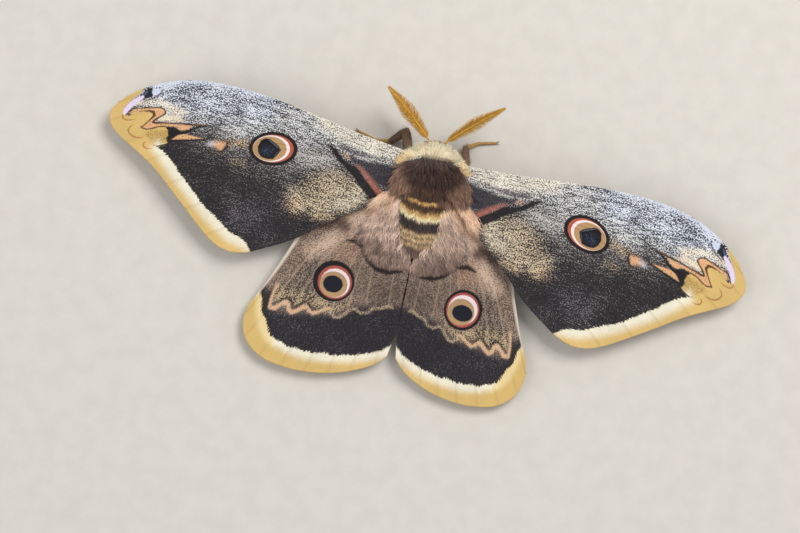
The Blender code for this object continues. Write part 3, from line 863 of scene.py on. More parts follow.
@dataclass(frozen=True)
class WingPlan:
    """The outline of a wing in its plan frame, in four curves, with its veins."""

    costa: Points
    margin: Points
    inner: Points
    veins: tuple[Vein, ...]
    crowd: float = 0.0  # how much closer the columns stand towards the margin

    def point(self, u: np.ndarray, v: np.ndarray) -> np.ndarray:
        """Plan places from shares of the wing.

        Args:
            u: Shares from root to margin.
            v: Shares from the front edge to the inner margin.

        Returns:
            The places.
        """
        costa, margin, inner = (smooth_curve(c, 120) for c in (self.costa, self.margin, self.inner))
        u1, v1 = u[:, None], v[:, None]
        sides = at_share(costa, u) * (1 - v1) + at_share(inner, u) * v1
        root = costa[0] * (1 - v1) + inner[0] * v1
        ends = root * (1 - u1) + at_share(margin, v) * u1
        front = costa[0] * (1 - u1) + costa[-1] * u1
        back = inner[0] * (1 - u1) + inner[-1] * u1
        return sides + ends - front * (1 - v1) - back * v1

    def nerve(self, u: np.ndarray, v: np.ndarray, chord: np.ndarray, half_width: float) -> np.ndarray:
        """How far the wing is raised by its veins.

        Args:
            u: Shares from root to margin.
            v: Shares from the front edge to the inner margin.
            chord: Width of the wing in millimetres at each place.
            half_width: Half the width of a vein.

        Returns:
            Numbers from 0 to 1.
        """
        raised = np.zeros(len(u))
        for vein in self.veins:
            start = max(vein.fork - 0.1, 0.0)
            crest = vein.root + (vein.end - vein.root) * ease((u - start) / (1.0 - start))
            shown = np.ones(len(u)) if vein.fork == 0 else ease((u - vein.fork + 0.05) / 0.1)
            if vein.stop < 1:
                shown = shown * (1 - ease((u - vein.stop + 0.1) / 0.1))
            away = np.abs(v - crest) * chord / half_width
            raised = np.maximum(raised, shown * np.exp(-(away**2) * 1.6))
        return raised


FOREWING = WingPlan(
    costa=(
        (-1.4, 1.6), (5.0, 2.9), (13.0, 4.4), (25.7, 7.3),
        (38.0, 9.1), (47.5, 8.8), (54.5, 6.5), (59.3, 3.6),
    ),
    margin=(
        (59.3, 3.6), (62.4, -0.6), (60.9, -4.7), (53.4, -10.3),
        (46.4, -16.4), (39.0, -22.2), (34.2, -23.7), (30.2, -22.9),
    ),
    inner=((-1.2, -3.6), (3.0, -6.4), (7.9, -9.8), (15.2, -14.4), (22.3, -19.3), (30.2, -22.9)),
    veins=(
        Vein(0.12, 0.035, stop=0.72),
        Vein(0.27, 0.045),
        Vein(0.30, 0.150, fork=0.50),
        Vein(0.33, 0.270, fork=0.44),
        Vein(0.36, 0.390, fork=0.44),
        Vein(0.52, 0.520, fork=0.42),
        Vein(0.56, 0.650, fork=0.36),
        Vein(0.60, 0.790),
        Vein(0.84, 0.930),
    ),
    crowd=0.11,
)
HINDWING = WingPlan(
    costa=((2.6, -7.6), (8.6, -9.8), (15.5, -14.0), (20.6, -20.0), (23.4, -27.0), (26.0, -33.5), (28.4, -38.6)),
    margin=(
        (28.4, -38.6), (28.9, -42.0), (27.6, -45.8), (24.3, -48.5), (19.5, -49.6),
        (14.0, -49.5), (8.5, -48.2), (3.5, -45.8), (0.9, -43.3),
    ),
    inner=(
        (2.9, -10.6), (3.2, -13.2), (2.5, -16.8), (1.0, -20.2),
        (0.2, -23.5), (0.15, -31.0), (0.2, -38.0), (0.9, -43.3),
    ),
    veins=(
        Vein(0.10, 0.06),
        Vein(0.30, 0.18),
        Vein(0.34, 0.31, fork=0.30),
        Vein(0.38, 0.43, fork=0.30),
        Vein(0.50, 0.55, fork=0.30),
        Vein(0.55, 0.67, fork=0.26),
        Vein(0.60, 0.79),
        Vein(0.82, 0.92),
    ),
)

INK: Tone = (24, 20, 22)
UMBER: Tone = (74, 42, 22)
OCHRE: Tone = (216, 182, 112)
CHALK: Tone = (240, 232, 208)
PEACH: Tone = (226, 172, 124)
RUST: Tone = (160, 92, 48)
BRICK: Tone = (178, 88, 66)

FORE_EDGE: Points = (
    (52.6, -5.1), (51.3, -5.3), (50.2, -5.9), (49.0, -6.8), (48.0, -7.8), (47.0, -8.6), (46.0, -9.8),
    (45.0, -10.7), (44.0, -11.5), (43.0, -12.6), (42.0, -13.5), (41.0, -14.6), (40.2, -15.3), (39.0, -16.1),
    (37.8, -16.9), (36.5, -17.7), (35.0, -19.0), (33.9, -19.7), (32.4, -20.1), (31.2, -20.6),
    (30.4, -21.4), (29.6, -22.4), (28.6, -24.2),
)
FORE_INNER: Points = ((51.4, -4.2), (48.0, -6.4), (44.0, -10.0), (40.0, -13.8), (36.0, -16.6), (32.0, -18.8),
                      (26.0, -21.6))
FORE_CHALK_EDGE: Points = (
    (28.0, -23.2), (31.0, -22.3), (34.2, -21.4), (37.6, -19.3), (41.2, -16.5), (44.2, -13.8),
    (47.3, -11.1), (49.8, -8.6), (51.7, -6.6), (52.6, -5.9),
)
FORE_ZONES = (
    Zone(((-3, 5), (-3, -25), (70, -40), (70, 12)), 0.19, (120, 110, 106), (35, 31, 34), 1.0),
    Zone(((-3, 6), (-3, -6), (10, -9), (17, -6), (24, -9), (36, -5.6), (45, -3.6), (52, 0), (60, 12)), 0.38,
         (166, 158, 152), (42, 39, 43), 4.0),
    Zone(((-3, 6), (-3, -0.7), (14, -0.9), (18, 0.6), (24, -1.2), (36, -1.4), (44, 0.2), (52, -0.2), (62, 3), (60, 14),
          (30, 12)), 0.48, (224, 222, 220), (36, 36, 42), 1.8),
    Zone(((30, 3), (42, 2.4), (50, 3.0), (57, 6), (50, 12), (26, 12)), 0.48, (224, 228, 238), (34, 37, 50), 2.2),
    Zone(((-3, 6), (-3, -0.6), (9, -0.2), (15, 1.2), (20, 4.2), (23, 9)), 0.6, (234, 226, 208), (84, 78, 76), 1.8),
    Zone(((30, 8.0), (38, 8.7), (47, 8.3), (54, 5.9), (57, 9), (40, 13), (28, 9.6)), 0.78, (214, 218, 230),
         (100, 104, 120), 0.8),
    Zone(((2.6, 3.3), (13, 4.5), (26, 7.4), (26, 9.6), (2.6, 6)), 0.8, (232, 220, 196), (126, 112, 98), 0.5),
    Zone(((6, -0.3), (10.5, -0.3), (15.4, 0.6), (15.2, 1.2), (10, 0.5)), 0.3, (170, 160, 156), (84, 78, 84), 0.7),
    Zone(((16, -0.8), (24, -0.4), (24, -4.5), (15, -3.2)), 0.5, (198, 192, 186), (54, 51, 54), 2.0),
    Zone(((9.4, -6.4), (12, -4.6), (15, -3.8), (20, -5.6), (23.8, -9.0), (24.8, -12.2), (23, -13.6), (17, -13.9),
          (11, -11.4), (8.6, -8.8)), 0.46, (220, 200, 168), (44, 35, 31), 1.8),
    Zone(((9.4, -6.6), (14, -7.6), (15, -11.6), (11, -11.2), (8.4, -8.8)), 0.54, (222, 208, 182), (54, 45, 40), 1.4),
    Zone(((21.4, -10.6), (23.6, -10.8), (24.4, -12.8), (22.6, -13.4), (21.6, -12.4)), 0.46, (226, 194, 158),
         (66, 46, 38), 1.1),
    Zone(((14.8, -12.6), (18.0, -12.9), (18.6, -14.2), (14, -13.4)), 0.5, (224, 198, 162), (76, 56, 44), 0.8),
    Zone(((24.5, -12), (36, -12), (36, -19), (26, -20)), 0.32, (126, 116, 118), (38, 35, 40), 3.0),
    Zone(((48.4, 1.4), (52.6, 3.2), (57.6, 1.9), (57.0, 3.2), (52, 4.0), (46.6, 2.4)), 0.66, (240, 226, 202),
         (116, 102, 90), 0.9),
    Zone(((46.6, 0.4), (49.0, 0.0), (52.6, -0.3), (51.6, 1.1), (48, 1.6)), 0.7, (242, 226, 196), (136, 116, 98), 0.8),
    Zone(((33.2, -1.0), (37.4, -1.5), (37.4, -2.6), (33.4, -2.2)), 0.48, (222, 190, 150), (60, 48, 42), 1.0),
    Zone(((33.4, -4.8), (36.4, -5.2), (36.4, -6.2), (33.6, -6.2)), 0.34, (186, 164, 134), (50, 43, 42), 1.0),
)
FORE_MARKS = (
    Mark("basal", (44, 40, 48), (Patch((
        (1.4, -0.5), (6.0, -0.9), (10.2, -1.0), (13.2, -0.3), (13.0, -1.2), (10.2, -2.4),
        (8.6, -4.0), (7.0, -5.4), (4.6, -5.2), (2.0, -3.4),
    )),), 0.9, 0.5, 0.9),
    Mark("blush", (172, 100, 82), (Stroke((
        (11.2, -2.3, 0.3), (9.7, -3.4, 0.8), (8.3, -4.7, 1.1), (6.9, -6.2, 1.3), (5.4, -7.5, 1.7),
    )),), 1.1, 0.6, 0.8),
    Mark("blush_root", (134, 62, 44), (Stroke(((7.2, -6.6, 0.4), (5.6, -7.8, 1.2), (4.6, -8.4, 1.4))),), 0.8, 0.4, 0.8),
    Mark("blush_spot", (190, 146, 116), (Spot(13.7, -0.7, 0.9, 0.5, 30),), 0.8, 0.4, 0.6, pepper=0.7),
    Mark("bar", INK, (Stroke((
        (17.5, 1.0, 0.3), (16.0, -0.3, 1.1), (14.8, -1.5, 1.0), (13.4, -2.4, 1.0), (11.6, -3.4, 1.7),
        (10.0, -5.0, 1.7), (8.4, -6.5, 1.8), (6.8, -7.9, 1.6),
    )),), 0.35, 0.25, 0.96),
    Mark("ochre", OCHRE, (Patch((
        (56.0, 6.2), (56.5, 4.7), (57.3, 3.8), (58.3, 2.7), (59.1, 1.5), (59.45, 0.5), (59.3, -0.1), (58.6, -0.2),
        (58.0, 0.1), (57.3, 0.8), (56.3, 1.2), (54.6, 1.5), (53.3, 1.5), (52.8, 0.9), (53.5, -0.2), (54.6, -1.5),
        (55.2, -2.0), (54.2, -2.2), (53.0, -1.8), (51.8, -1.2), (50.3, -1.0), (49.8, -1.9), (49.6, -2.8),
        (50.0, -3.2), (49.3, -4.0), (50.0, -4.6), (51.4, -5.0), *FORE_EDGE, (29, -30), (70, -30), (70, 10),
    )),), 0.12, 0.36),
    Mark("olive", (196, 160, 92), (Patch((
        (49.8, -1.6), (53.4, -2.3), (54.6, -3.2), (53.0, -4.2), (52.4, -5.0), (50.6, -4.8), (49.6, -4.0),
    )),), 0.7, 0.5, 0.7),
    Mark("olive_scales", (92, 72, 44), (Patch((
        (49.8, -1.6), (53.4, -2.3), (54.6, -3.2), (53.0, -4.2), (52.4, -5.0), (50.6, -4.8), (49.6, -4.0),
    )),), 0.7, 0.5, 0.8, pepper=0.3),
    Mark("chalk", CHALK, (Patch((*FORE_INNER, *FORE_CHALK_EDGE)),), 2.4, 0.3, inside=True),
    Mark("peach", PEACH, (Patch((
        (57.4, 1.2), (55.5, 1.85), (53.8, 2.2), (52.2, 2.45), (51.2, 2.2), (50.85, 1.7), (51.2, 1.1), (52.0, 0.55),
        (52.7, -0.05), (53.2, -0.7), (52.4, -0.75), (51.4, -0.5), (50.0, -0.35), (48.3, -0.3), (47.0, -0.2),
        (44.8, 0.0), (45.6, -0.7), (46.6, -1.2), (47.6, -1.3), (48.3, -0.8), (50.3, -1.05), (51.8, -1.35),
        (53.0, -1.9), (54.2, -2.25), (55.3, -2.15), (55.2, -1.8), (54.5, -1.2), (53.9, -0.5), (53.3, 0.3),
        (52.95, 0.9), (53.2, 1.4), (54.0, 1.5), (55.2, 1.25), (56.6, 0.9), (58.0, 0.4), (58.6, 0.0),
    )),
    Patch(((42.5, -2.2), (44.5, -2.0), (46.4, -1.9), (47.8, -2.3), (49.2, -3.5), (47.6, -3.2), (46.0, -2.9),
           (44.0, -2.5))),
        ), 0.2, 0.25, pepper=0.85),
    Mark("spot", PEACH, (Patch((
        (37.8, -2.3), (38.6, -2.1), (39.6, -2.2), (40.8, -2.7), (39.9, -3.4), (38.6, -4.0), (38.0, -3.1),
    )),), 0.6, 0.9, pepper=0.9),
    Mark("spot_end", (214, 204, 208), (Patch((
        (39.9, -2.3), (41.4, -2.6), (41.6, -3.4), (40.6, -3.5), (40.0, -3.3),
    )),), 0.5, 0.6, 0.65),
    Mark("wedge", INK, (
        Patch((
            (47.2, -1.5), (48.4, -0.95), (50.4, -1.1), (49.8, -1.9), (49.6, -2.9), (50.0, -3.3), (49.5, -4.1),
            (48.8, -3.4), (48.0, -2.4), (47.2, -2.0),
        )),
        Stroke(((41.0, 0.5, 0.2), (43.5, 0.1, 0.45), (44.6, -0.5, 0.5), (46.0, -1.45, 0.5), (47.6, -2.0, 0.5),
                (49.3, -3.6, 0.3))),
        Stroke(((41.6, -2.3, 0.2), (44.0, -2.75, 0.3), (46.0, -3.2, 0.35), (47.8, -3.6, 0.4), (49.6, -4.0, 0.3))),
        Stroke(((37.6, -2.0, 0.2), (37.5, -2.9, 0.4), (38.2, -4.0, 0.3), (39.4, -4.3, 0.2))),
    ), 0.2, 0.16, 0.94),
    Mark("lines", UMBER, (
        Stroke((
            (56.6, 1.5, 0.12), (55.0, 1.95, 0.3), (53.5, 2.25, 0.3), (52.2, 2.5, 0.34), (51.3, 2.3, 0.34),
            (50.85, 1.7, 0.34), (51.2, 1.1, 0.3), (52.0, 0.55, 0.3), (52.7, -0.05, 0.42), (53.2, -0.7, 0.34),
            (52.4, -0.75, 0.34), (51.4, -0.5, 0.32), (50.0, -0.35, 0.26), (48.3, -0.1, 0.26), (46.6, 0.1, 0.3),
            (44.4, 0.25, 0.4), (42.0, 0.5, 0.2),
        )),
        Stroke((
            (56.4, 0.95, 0.12), (55.2, 1.25, 0.26), (54.1, 1.45, 0.4), (53.3, 1.35, 0.6), (53.05, 0.8, 0.6),
            (53.4, 0.2, 0.36), (54.0, -0.55, 0.28), (54.6, -1.3, 0.26), (55.35, -2.1, 0.28), (54.2, -2.28, 0.28),
            (53.0, -1.88, 0.28), (51.8, -1.32, 0.28), (50.3, -1.05, 0.3),
        )),
    ), 0.16, 0.05, 0.92),
    Mark("scallops", RUST, (
        Stroke(((59.45, -0.2, 0.2), (59.3, -0.9, 0.3), (58.7, -1.12, 0.3), (57.6, -0.95, 0.28), (56.6, -0.7, 0.12))),
        Stroke((
            (56.8, -1.7, 0.12), (57.5, -2.3, 0.26), (57.85, -2.95, 0.3), (57.5, -3.6, 0.3),
            (56.8, -4.1, 0.3), (55.8, -4.2, 0.28), (54.6, -4.1, 0.14),
        )),
        Stroke(((53.8, -4.7, 0.14), (54.3, -5.2, 0.28), (54.2, -5.7, 0.3), (53.5, -6.05, 0.28), (52.3, -5.9, 0.14))),
    ), 0.18, 0.05, 0.75),
    Mark("frost", (216, 224, 242), (Spot(53.6, 5.35, 1.0, 0.6, -30),), 0.35, 0.1, 0.9),
    Mark("thin_line", (96, 88, 100), (Stroke((
        (52.2, 5.8, 0.2), (52.6, 5.1, 0.26), (53.5, 4.3, 0.26), (54.5, 3.7, 0.26), (55.9, 2.9, 0.2),
    )),), 0.16, 0.08, 0.8),
    Mark("apical", (18, 18, 28), (Patch((
        (54.3, 6.1), (55.3, 5.8), (56.1, 4.7), (55.95, 3.9), (55.9, 3.3), (55.2, 3.85),
        (54.2, 4.3), (53.9, 4.6), (54.35, 5.2),
    )),), 0.2, 0.1, 0.97),
    # Painted highlight: a steel-blue glint of light on the black apical spot.
    Mark("painted_apical_glint", (86, 104, 140), (Spot(55.6, 4.75, 0.75, 0.22, -48),), 0.25, 0.05, 0.7),
    Mark("lilac", (232, 216, 240), (Stroke((
        (56.0, 4.0, 0.6), (57.2, 3.0, 0.95), (58.2, 1.95, 1.05), (58.9, 0.85, 1.0), (59.1, 0.2, 0.7),
    )),), 0.22, 0.08, 0.95),
    Mark("ring", INK, (Spot(28.3, -1.75, 4.9, 3.35, -8),), 0.14, 0.12),
    Mark("ring_red", BRICK, (Spot(28.3, -1.75, 4.1, 2.75, -8),), 0.14, 0.05),
    Mark("ring_white", (246, 226, 220), (Spot(28.66, -1.80, 3.72, 2.62, -8),), 0.14, 0.04),
    Mark("ring_tan", (184, 144, 98), (Spot(28.98, -1.86, 3.38, 2.42, -8),), 0.14, 0.04),
    Mark("pupil", (16, 16, 24), (Patch((
        (26.7, -1.8), (27.2, -1.1), (28.2, -0.5), (29.3, 0.05), (30.3, 0.0), (31.0, -0.6), (31.4, -1.8),
        (31.2, -2.9), (30.5, -3.7), (29.3, -3.95), (28.0, -3.8), (27.3, -2.9),
    )),), 0.14, 0.05),
    Mark("pupil_blue", (84, 100, 130), (Spot(29.4, -2.4, 1.5, 0.9, -20),), 1.0, 0.6, 0.6, pepper=0.36),
    Mark("slit", (150, 158, 176), (
        Stroke(((27.0, -1.6, 0.1), (27.9, -1.05, 0.16), (28.9, -0.45, 0.18), (29.6, -0.15, 0.06))),
        Stroke(((27.0, -1.75, 0.06), (27.4, -2.5, 0.12), (27.9, -3.4, 0.06))),
    ), 0.16, 0.04, 0.62),
)

HIND_EDGE: Points = (
    (27.6, -34.4), (26.8, -35.8), (26.2, -37.0), (26.0, -38.6), (25.6, -39.8), (25.0, -40.8), (24.3, -41.7),
    (23.9, -42.9), (23.2, -43.9), (22.2, -44.5), (20.8, -44.9), (19.6, -45.4), (18.0, -45.3), (16.2, -45.7),
    (14.2, -45.5), (12.8, -45.2), (11.2, -45.2), (10.0, -45.1), (8.4, -44.7), (6.8, -44.3), (5.2, -43.8),
    (4.0, -43.3), (3.0, -42.7), (1.9, -42.2), (1.2, -41.6), (0.6, -40.8), (-0.6, -39.8),
)
HIND_INNER: Points = ((22.6, -43.2), (18.0, -44.0), (12.0, -44.0), (6.0, -42.6), (2.0, -40.8), (-2.0, -38.6))
HIND_CHALK_EDGE: Points = (
    (-1.6, -42.2), (1.2, -43.6), (4.0, -44.8), (8.0, -46.1), (12.0, -46.9), (16.0, -47.2), (20.0, -46.6),
    (22.4, -45.6), (23.6, -44.4),
)
HIND_ZIGZAG: Points = (
    (23.8, -33.4, 0.3), (24.3, -35.0, 0.5), (24.5, -36.6, 0.6), (24.4, -38.4, 0.8), (23.5, -38.4, 0.8),
    (22.6, -37.4, 0.8), (21.7, -36.7, 0.9), (21.1, -36.9, 0.9), (20.7, -38.2, 0.8), (20.2, -38.6, 0.7),
    (19.2, -37.8, 0.8), (18.2, -36.9, 0.9), (17.5, -36.8, 0.8), (16.9, -37.5, 0.7), (16.2, -37.8, 0.6),
    (15.2, -37.3, 0.6), (14.2, -36.6, 0.55), (13.3, -36.1, 0.5), (13.0, -36.9, 0.45), (12.2, -37.7, 0.45),
    (11.2, -37.5, 0.45), (10.2, -36.5, 0.4), (9.5, -35.6, 0.35), (8.6, -35.2, 0.35), (7.4, -35.8, 0.35),
    (6.2, -35.5, 0.35), (5.4, -34.5, 0.35), (3.6, -33.9, 0.5), (2.3, -33.2, 0.6), (1.6, -33.4, 0.3),
)
HIND_ZONES = (
    Zone(((-3, -5), (-3, -55), (35, -55), (35, -5)), 0.46, (158, 138, 122), (92, 76, 68), 1.0),
    Zone(((7, -9), (15, -13), (21.5, -20), (27, -33), (25, -36), (17.5, -33), (16.5, -27), (12, -20)), 0.5,
         (168, 144, 124), (92, 74, 66), 2.0),
    Zone(((7.0, -10.5), (14, -13.4), (17, -17.4), (12.6, -18.0), (9.4, -15.8)), 0.5, (206, 174, 148), (172, 140, 118),
         1.6),
    Zone(((8.4, -14.0), (10.4, -15.0), (13.6, -19.4), (20.5, -26.0), (18.6, -27.4), (12.0, -21.0), (9.6, -18.4)), 0.6,
         (210, 182, 160), (152, 124, 108), 1.5),
    Zone(((12.0, -19.6), (13.6, -18.2), (16.0, -18.4), (18.6, -20.0), (18.2, -20.8), (15.4, -19.8), (13.0, -20.8)), 0.3,
         (128, 100, 92), (92, 68, 62), 1.0),
    Zone(((9.8, -22.4), (13.0, -22.2), (14.6, -25.4), (13.2, -26.6), (10.2, -26.4)), 0.46, (182, 146, 122),
         (120, 92, 78), 2.4),
    Zone(((-1, -9), (6, -9), (9.4, -20), (7.6, -25.4), (-1, -26)), 0.5, (164, 142, 130), (112, 90, 80), 1.0),
    Zone(((-1, -26.5), (9.2, -26.5), (9.2, -33), (-1, -33)), 0.44, (142, 122, 106), (82, 66, 58), 2.0),
    Zone(((15.0, -28), (18, -27), (23.5, -33), (24, -36), (15, -34.5)), 0.44, (156, 138, 120), (62, 52, 48), 2.0),
    Zone(((8.8, -33.2), (13, -35.4), (17, -33.6), (23.6, -34), (24.0, -37), (20, -37.4), (12.4, -37.2)), 0.48,
         (196, 172, 136), (44, 38, 38), 1.0),
    Zone(((-1, -32.6), (6, -34.2), (9, -35.2), (11, -37.2), (16, -37.8), (20.5, -38.8), (24.6, -38.8), (25.0, -35.6),
          (26.2, -33.8), (28, -36), (34, -50), (-1, -52)), 0.2, (92, 86, 94), (34, 31, 35), 1.1),
)
HIND_MARKS = (
    Mark("zigzag_inner", (206, 180, 148), (Stroke(HIND_ZIGZAG[14:]),), 0.5, 0.4, 0.9, pepper=0.66),
    Mark("zigzag", (220, 180, 142), (Stroke(HIND_ZIGZAG[:18]),), 0.32, 0.36, 0.92, pepper=0.86),
    Mark("shade_line", (44, 34, 34), (Stroke((
        (24.6, -34.6, 0.3), (25.2, -36.4, 0.8), (25.4, -38.4, 0.9), (24.6, -39.6, 0.4),
    )), Stroke((
        (24.0, -37.6, 0.3), (23.2, -37.1, 0.4), (22.3, -36.2, 0.45), (21.3, -35.8, 0.45), (20.6, -36.4, 0.4),
        (20.2, -37.6, 0.5), (19.2, -36.9, 0.5), (18.2, -35.9, 0.5), (17.5, -35.9, 0.45), (16.7, -36.8, 0.5),
        (15.8, -36.9, 0.4), (14.8, -36.2, 0.3),
    ))), 0.3, 0.34, 0.85),
    Mark("ochre", OCHRE, (Patch((*HIND_EDGE, (-6, -60), (40, -60), (40, -34))),), 0.16, 0.5),
    Mark("chalk", CHALK, (Patch((*HIND_INNER, *HIND_CHALK_EDGE)),), 2.0, 0.4, inside=True),
    Mark("pale_ochre", (240, 218, 164), (Patch((
        (26.0, -34.6), (25.0, -38.6), (24.0, -41.0), (22.6, -43.4), (22.4, -45.8), (24.2, -45.0), (26.0, -42.6),
        (26.9, -39.6), (27.4, -36.4),
    )),), 1.6, 0.4, 0.75, inside=True),
    Mark("front_line", (238, 226, 208), (Stroke((
        (19.6, -19.2, 0.2), (21.0, -21.6, 0.6), (22.6, -25.4, 0.8), (24.2, -29.6, 0.7), (25.8, -33.4, 0.4),
        (27.4, -36.6, 0.3),
    )),), 0.4, 0.1, 0.75),
)
# The dark arc line of each hindwing; its inner end, behind the wing hair, is painted shadow of the hair's tips.
LEFT_ARC_AND_HAIR_SHADOW = Stroke((
    (1.5, -26.0, 0.6), (4.1, -26.7, 1.2), (6.2, -26.4, 1.2), (8.1, -25.0, 1.0), (9.4, -22.9, 0.9),
    (10.7, -21.9, 1.0), (12.6, -22.1, 0.4),
))
RIGHT_ARC_AND_HAIR_SHADOW = Stroke((
    (2.6, -26.4, 0.6), (5.0, -26.1, 1.2), (7.2, -25.2, 1.1), (8.4, -23.9, 1.0), (9.8, -22.9, 0.9),
    (12.0, -22.5, 1.0), (13.8, -23.1, 0.4),
))


@dataclass(frozen=True)
class HindEye:
    """The ringed spot of one hindwing, in the body frame: each ring is off the middle by its own small shift."""

    x: float
    y: float
    black: Points
    red: Points
    white: Points
    tan: Points
    pupil: Points
    turn: float = 0.0  # of the pupil's long axis, in degrees from the body's right

    def rings(self) -> tuple[Mark, ...]:
        """The spot's rings, from the outside in."""
        made = []
        for name, tone in (
            ("black", INK), ("red", (172, 84, 70)), ("white", (244, 226, 226)), ("tan", (180, 146, 106)),
            ("pupil", (20, 22, 34)),
        ):
            (right, forward), (along, across) = getattr(self, name)
            turn = self.turn if name == "pupil" else 0.0
            shape = Spot(self.x + right, self.y + forward, along, across, turn)
            made.append(Mark(f"eye_{name}", tone, (shape,), 0.16, 0.12))
        return tuple(made)


LEFT_EYE = HindEye(
    -15.2, -30.3, black=((0.0, 0.0), (4.2, 4.1)), red=((0.26, -0.18), (3.44, 3.35)), white=((0.35, -0.33), (2.95, 2.9)),
    tan=((0.08, -0.64), (2.78, 2.6)), pupil=((-0.05, -0.58), (2.0, 1.72)),
)
RIGHT_EYE = HindEye(
    11.3, -31.3, black=((0.0, 0.0), (3.85, 4.1)), red=((-0.05, 0.0), (3.3, 3.5)), white=((-0.05, 0.05), (2.95, 2.95)),
    tan=((-0.34, -0.44), (2.72, 2.68)), pupil=((-0.02, -0.65), (2.1, 1.65)), turn=-6.0,
)


@dataclass
class Wing:
    """One wing: a curved blade with raised veins, painted with its marks."""

    kind: WingKind
    side: Side
    plan: WingPlan
    zones: tuple[Zone, ...]
    marks: tuple[Mark, ...]
    columns: int
    rows: int
    hinge: tuple[float, float] = (0.0, 0.0)
    sweep: float = 0.0  # degrees back from square to the body
    curl: float = 0.0  # how far the outer margin is bowed in
    spread: float = 1.0  # how wide a hindwing is fanned out
    body_marks: tuple[Mark, ...] = ()  # marks placed in the body frame
    span: float = 66.0
    root_height: float = 10.2
    tip_drop: float = 6.9
    camber: float = 0.0047
    swing: float = -1.3
    meet: float = -0.3
    hind_root: tuple[float, float, float] = (4.5, -9.0, 8.3)
    edge_height: float = 2.1
    reach: float = 22.0
    half_tent: float = 6.6
    ridge: Points = ((-52.0, 2.2), (-45.0, 2.9), (-37.0, 4.5), (-31.0, 6.2), (-26.0, 7.9), (-20.0, 9.4), (-13.0, 9.7),
                     (-6.0, 8.8))
    top: float = 0.25  # how far the upper face is above the middle of the blade
    vein_height: float = 0.15
    vein_half_width: float = 0.3
    thickness: float = 0.34
    mark_curl: float = 1.9  # how far the margin was bowed where the marks were read
    bow: tuple[float, float] = (-0.55, 0.83)

    def tent(self, x: np.ndarray, y: np.ndarray) -> np.ndarray:
        """Height of a hindwing over a place in the body frame.

        Args:
            x: Places across.
            y: Places along.

        Returns:
            Heights.
        """
        away = np.hypot(np.abs(x) - self.hind_root[0], y - self.hind_root[1])
        plain = self.edge_height + (self.hind_root[2] - self.edge_height) * np.exp(-((away / self.reach) ** 2))
        ridge = np.interp(y, *np.array(self.ridge).T)
        return plain + np.maximum(ridge - plain, 0.0) * np.exp(-((x / self.half_tent) ** 2))

    def place(self, points: np.ndarray, front: np.ndarray) -> np.ndarray:
        """Places of plan points in the body frame.

        Args:
            points: Plan points.
            front: The forward place of the front edge at each.

        Returns:
            Places on the middle of the blade.
        """
        sign = self.side.sign
        if self.kind is WingKind.FORE:
            turn = math.radians(self.sweep)
            out = points[:, 0] * math.cos(turn) + points[:, 1] * math.sin(turn)
            forward = points[:, 1] * math.cos(turn) - points[:, 0] * math.sin(turn)
            droop = self.tip_drop * (np.maximum(out + abs(self.hinge[0]), 0.0) / self.span) ** 1.7
            height = self.root_height - droop - self.camber * (front - points[:, 1]) ** 2
            return np.stack([self.hinge[0] + sign * out, self.hinge[1] + forward, height], axis=1)
        turn = math.radians(self.swing)
        x = sign * points[:, 0] * self.spread + self.meet * ease(-points[:, 1] / 20)
        along = points[:, 1] - self.hind_root[1]
        across = x * math.cos(turn) - along * math.sin(turn)
        forward = self.hind_root[1] + x * math.sin(turn) + along * math.cos(turn)
        return np.stack([across, forward, self.tent(across + along * math.sin(turn), forward)], axis=1)

    def height(self, places: np.ndarray) -> np.ndarray:
        """Height of the wing's upper face over places in the body frame.

        Args:
            places: Places across and along.

        Returns:
            Heights, 0 where the wing doesn't reach.
        """
        turn = math.radians(self.sweep if self.kind is WingKind.FORE else self.swing)
        sign = self.side.sign
        if self.kind is WingKind.FORE:
            out, forward = sign * (places[:, 0] - self.hinge[0]), places[:, 1] - self.hinge[1]
            x = out * math.cos(turn) - forward * math.sin(turn)
            y = out * math.sin(turn) + forward * math.cos(turn)
        else:
            along = places[:, 1] - self.hind_root[1]
            y = self.hind_root[1] + along * math.cos(turn) - places[:, 0] * math.sin(turn)
            across = places[:, 0] * math.cos(turn) + along * math.sin(turn)
            x = sign * (across - self.meet * ease(-y / 20)) / self.spread
        points = np.stack([x, y], axis=1)
        outline = Patch((*self.plan.costa, *self.plan.margin, *self.plan.inner[::-1]))
        front = np.interp(x, *np.array(self.plan.costa).T)
        top = self.place(points, front)[:, 2] + self.top
        return np.where(outline.distance(points) < 0, top, 0.0)

    def blade(self) -> bpy.types.Object:
        """The blade, from a flat grid bent over the wing's form and given its thickness.

        Returns:
            The wing.
        """
        deselect()
        bpy.ops.mesh.primitive_grid_add(x_subdivisions=self.columns, y_subdivisions=self.rows, size=2)
        obj = start_piece(f"{self.kind.value}_blade_{self.side.value}")
        flat = read_places(obj)
        s, v = (flat[:, 0] + 1) / 2, (flat[:, 1] + 1) / 2
        u = s + self.plan.crowd * np.sin(math.pi * s)
        plain = self.plan.point(u, v)
        lean = (u**3 * np.sin(math.pi * v))[:, None] * np.array(self.bow)
        points = plain + lean * self.curl
        front = self.plan.point(u, np.zeros(len(u)))
        chord = np.linalg.norm(front - self.plan.point(u, np.ones(len(u))), axis=1)
        nerve = self.plan.nerve(u, v, chord, self.vein_half_width)
        middle = self.place(points, front[:, 1])
        middle[:, 2] += self.top + self.vein_height * nerve
        place_vertices(obj, middle)
        self.paint(obj, plain + lean * (self.mark_curl if self.kind is WingKind.FORE else 0.0), middle[:, :2], u, v,
                   chord, nerve)
        if obj.data.polygons[len(obj.data.polygons) // 2].normal.z < 0:
            bpy.ops.object.mode_set(mode="EDIT")
            bpy.ops.mesh.select_all(action="SELECT")
            bpy.ops.mesh.flip_normals()
            bpy.ops.object.mode_set(mode="OBJECT")
        wall = obj.modifiers.new("thickness", "SOLIDIFY")
        wall.thickness = self.thickness * MM
        wall.offset = -1.0
        bpy.ops.object.modifier_apply(modifier=wall.name)
        obj.data.shade_smooth()
        return obj

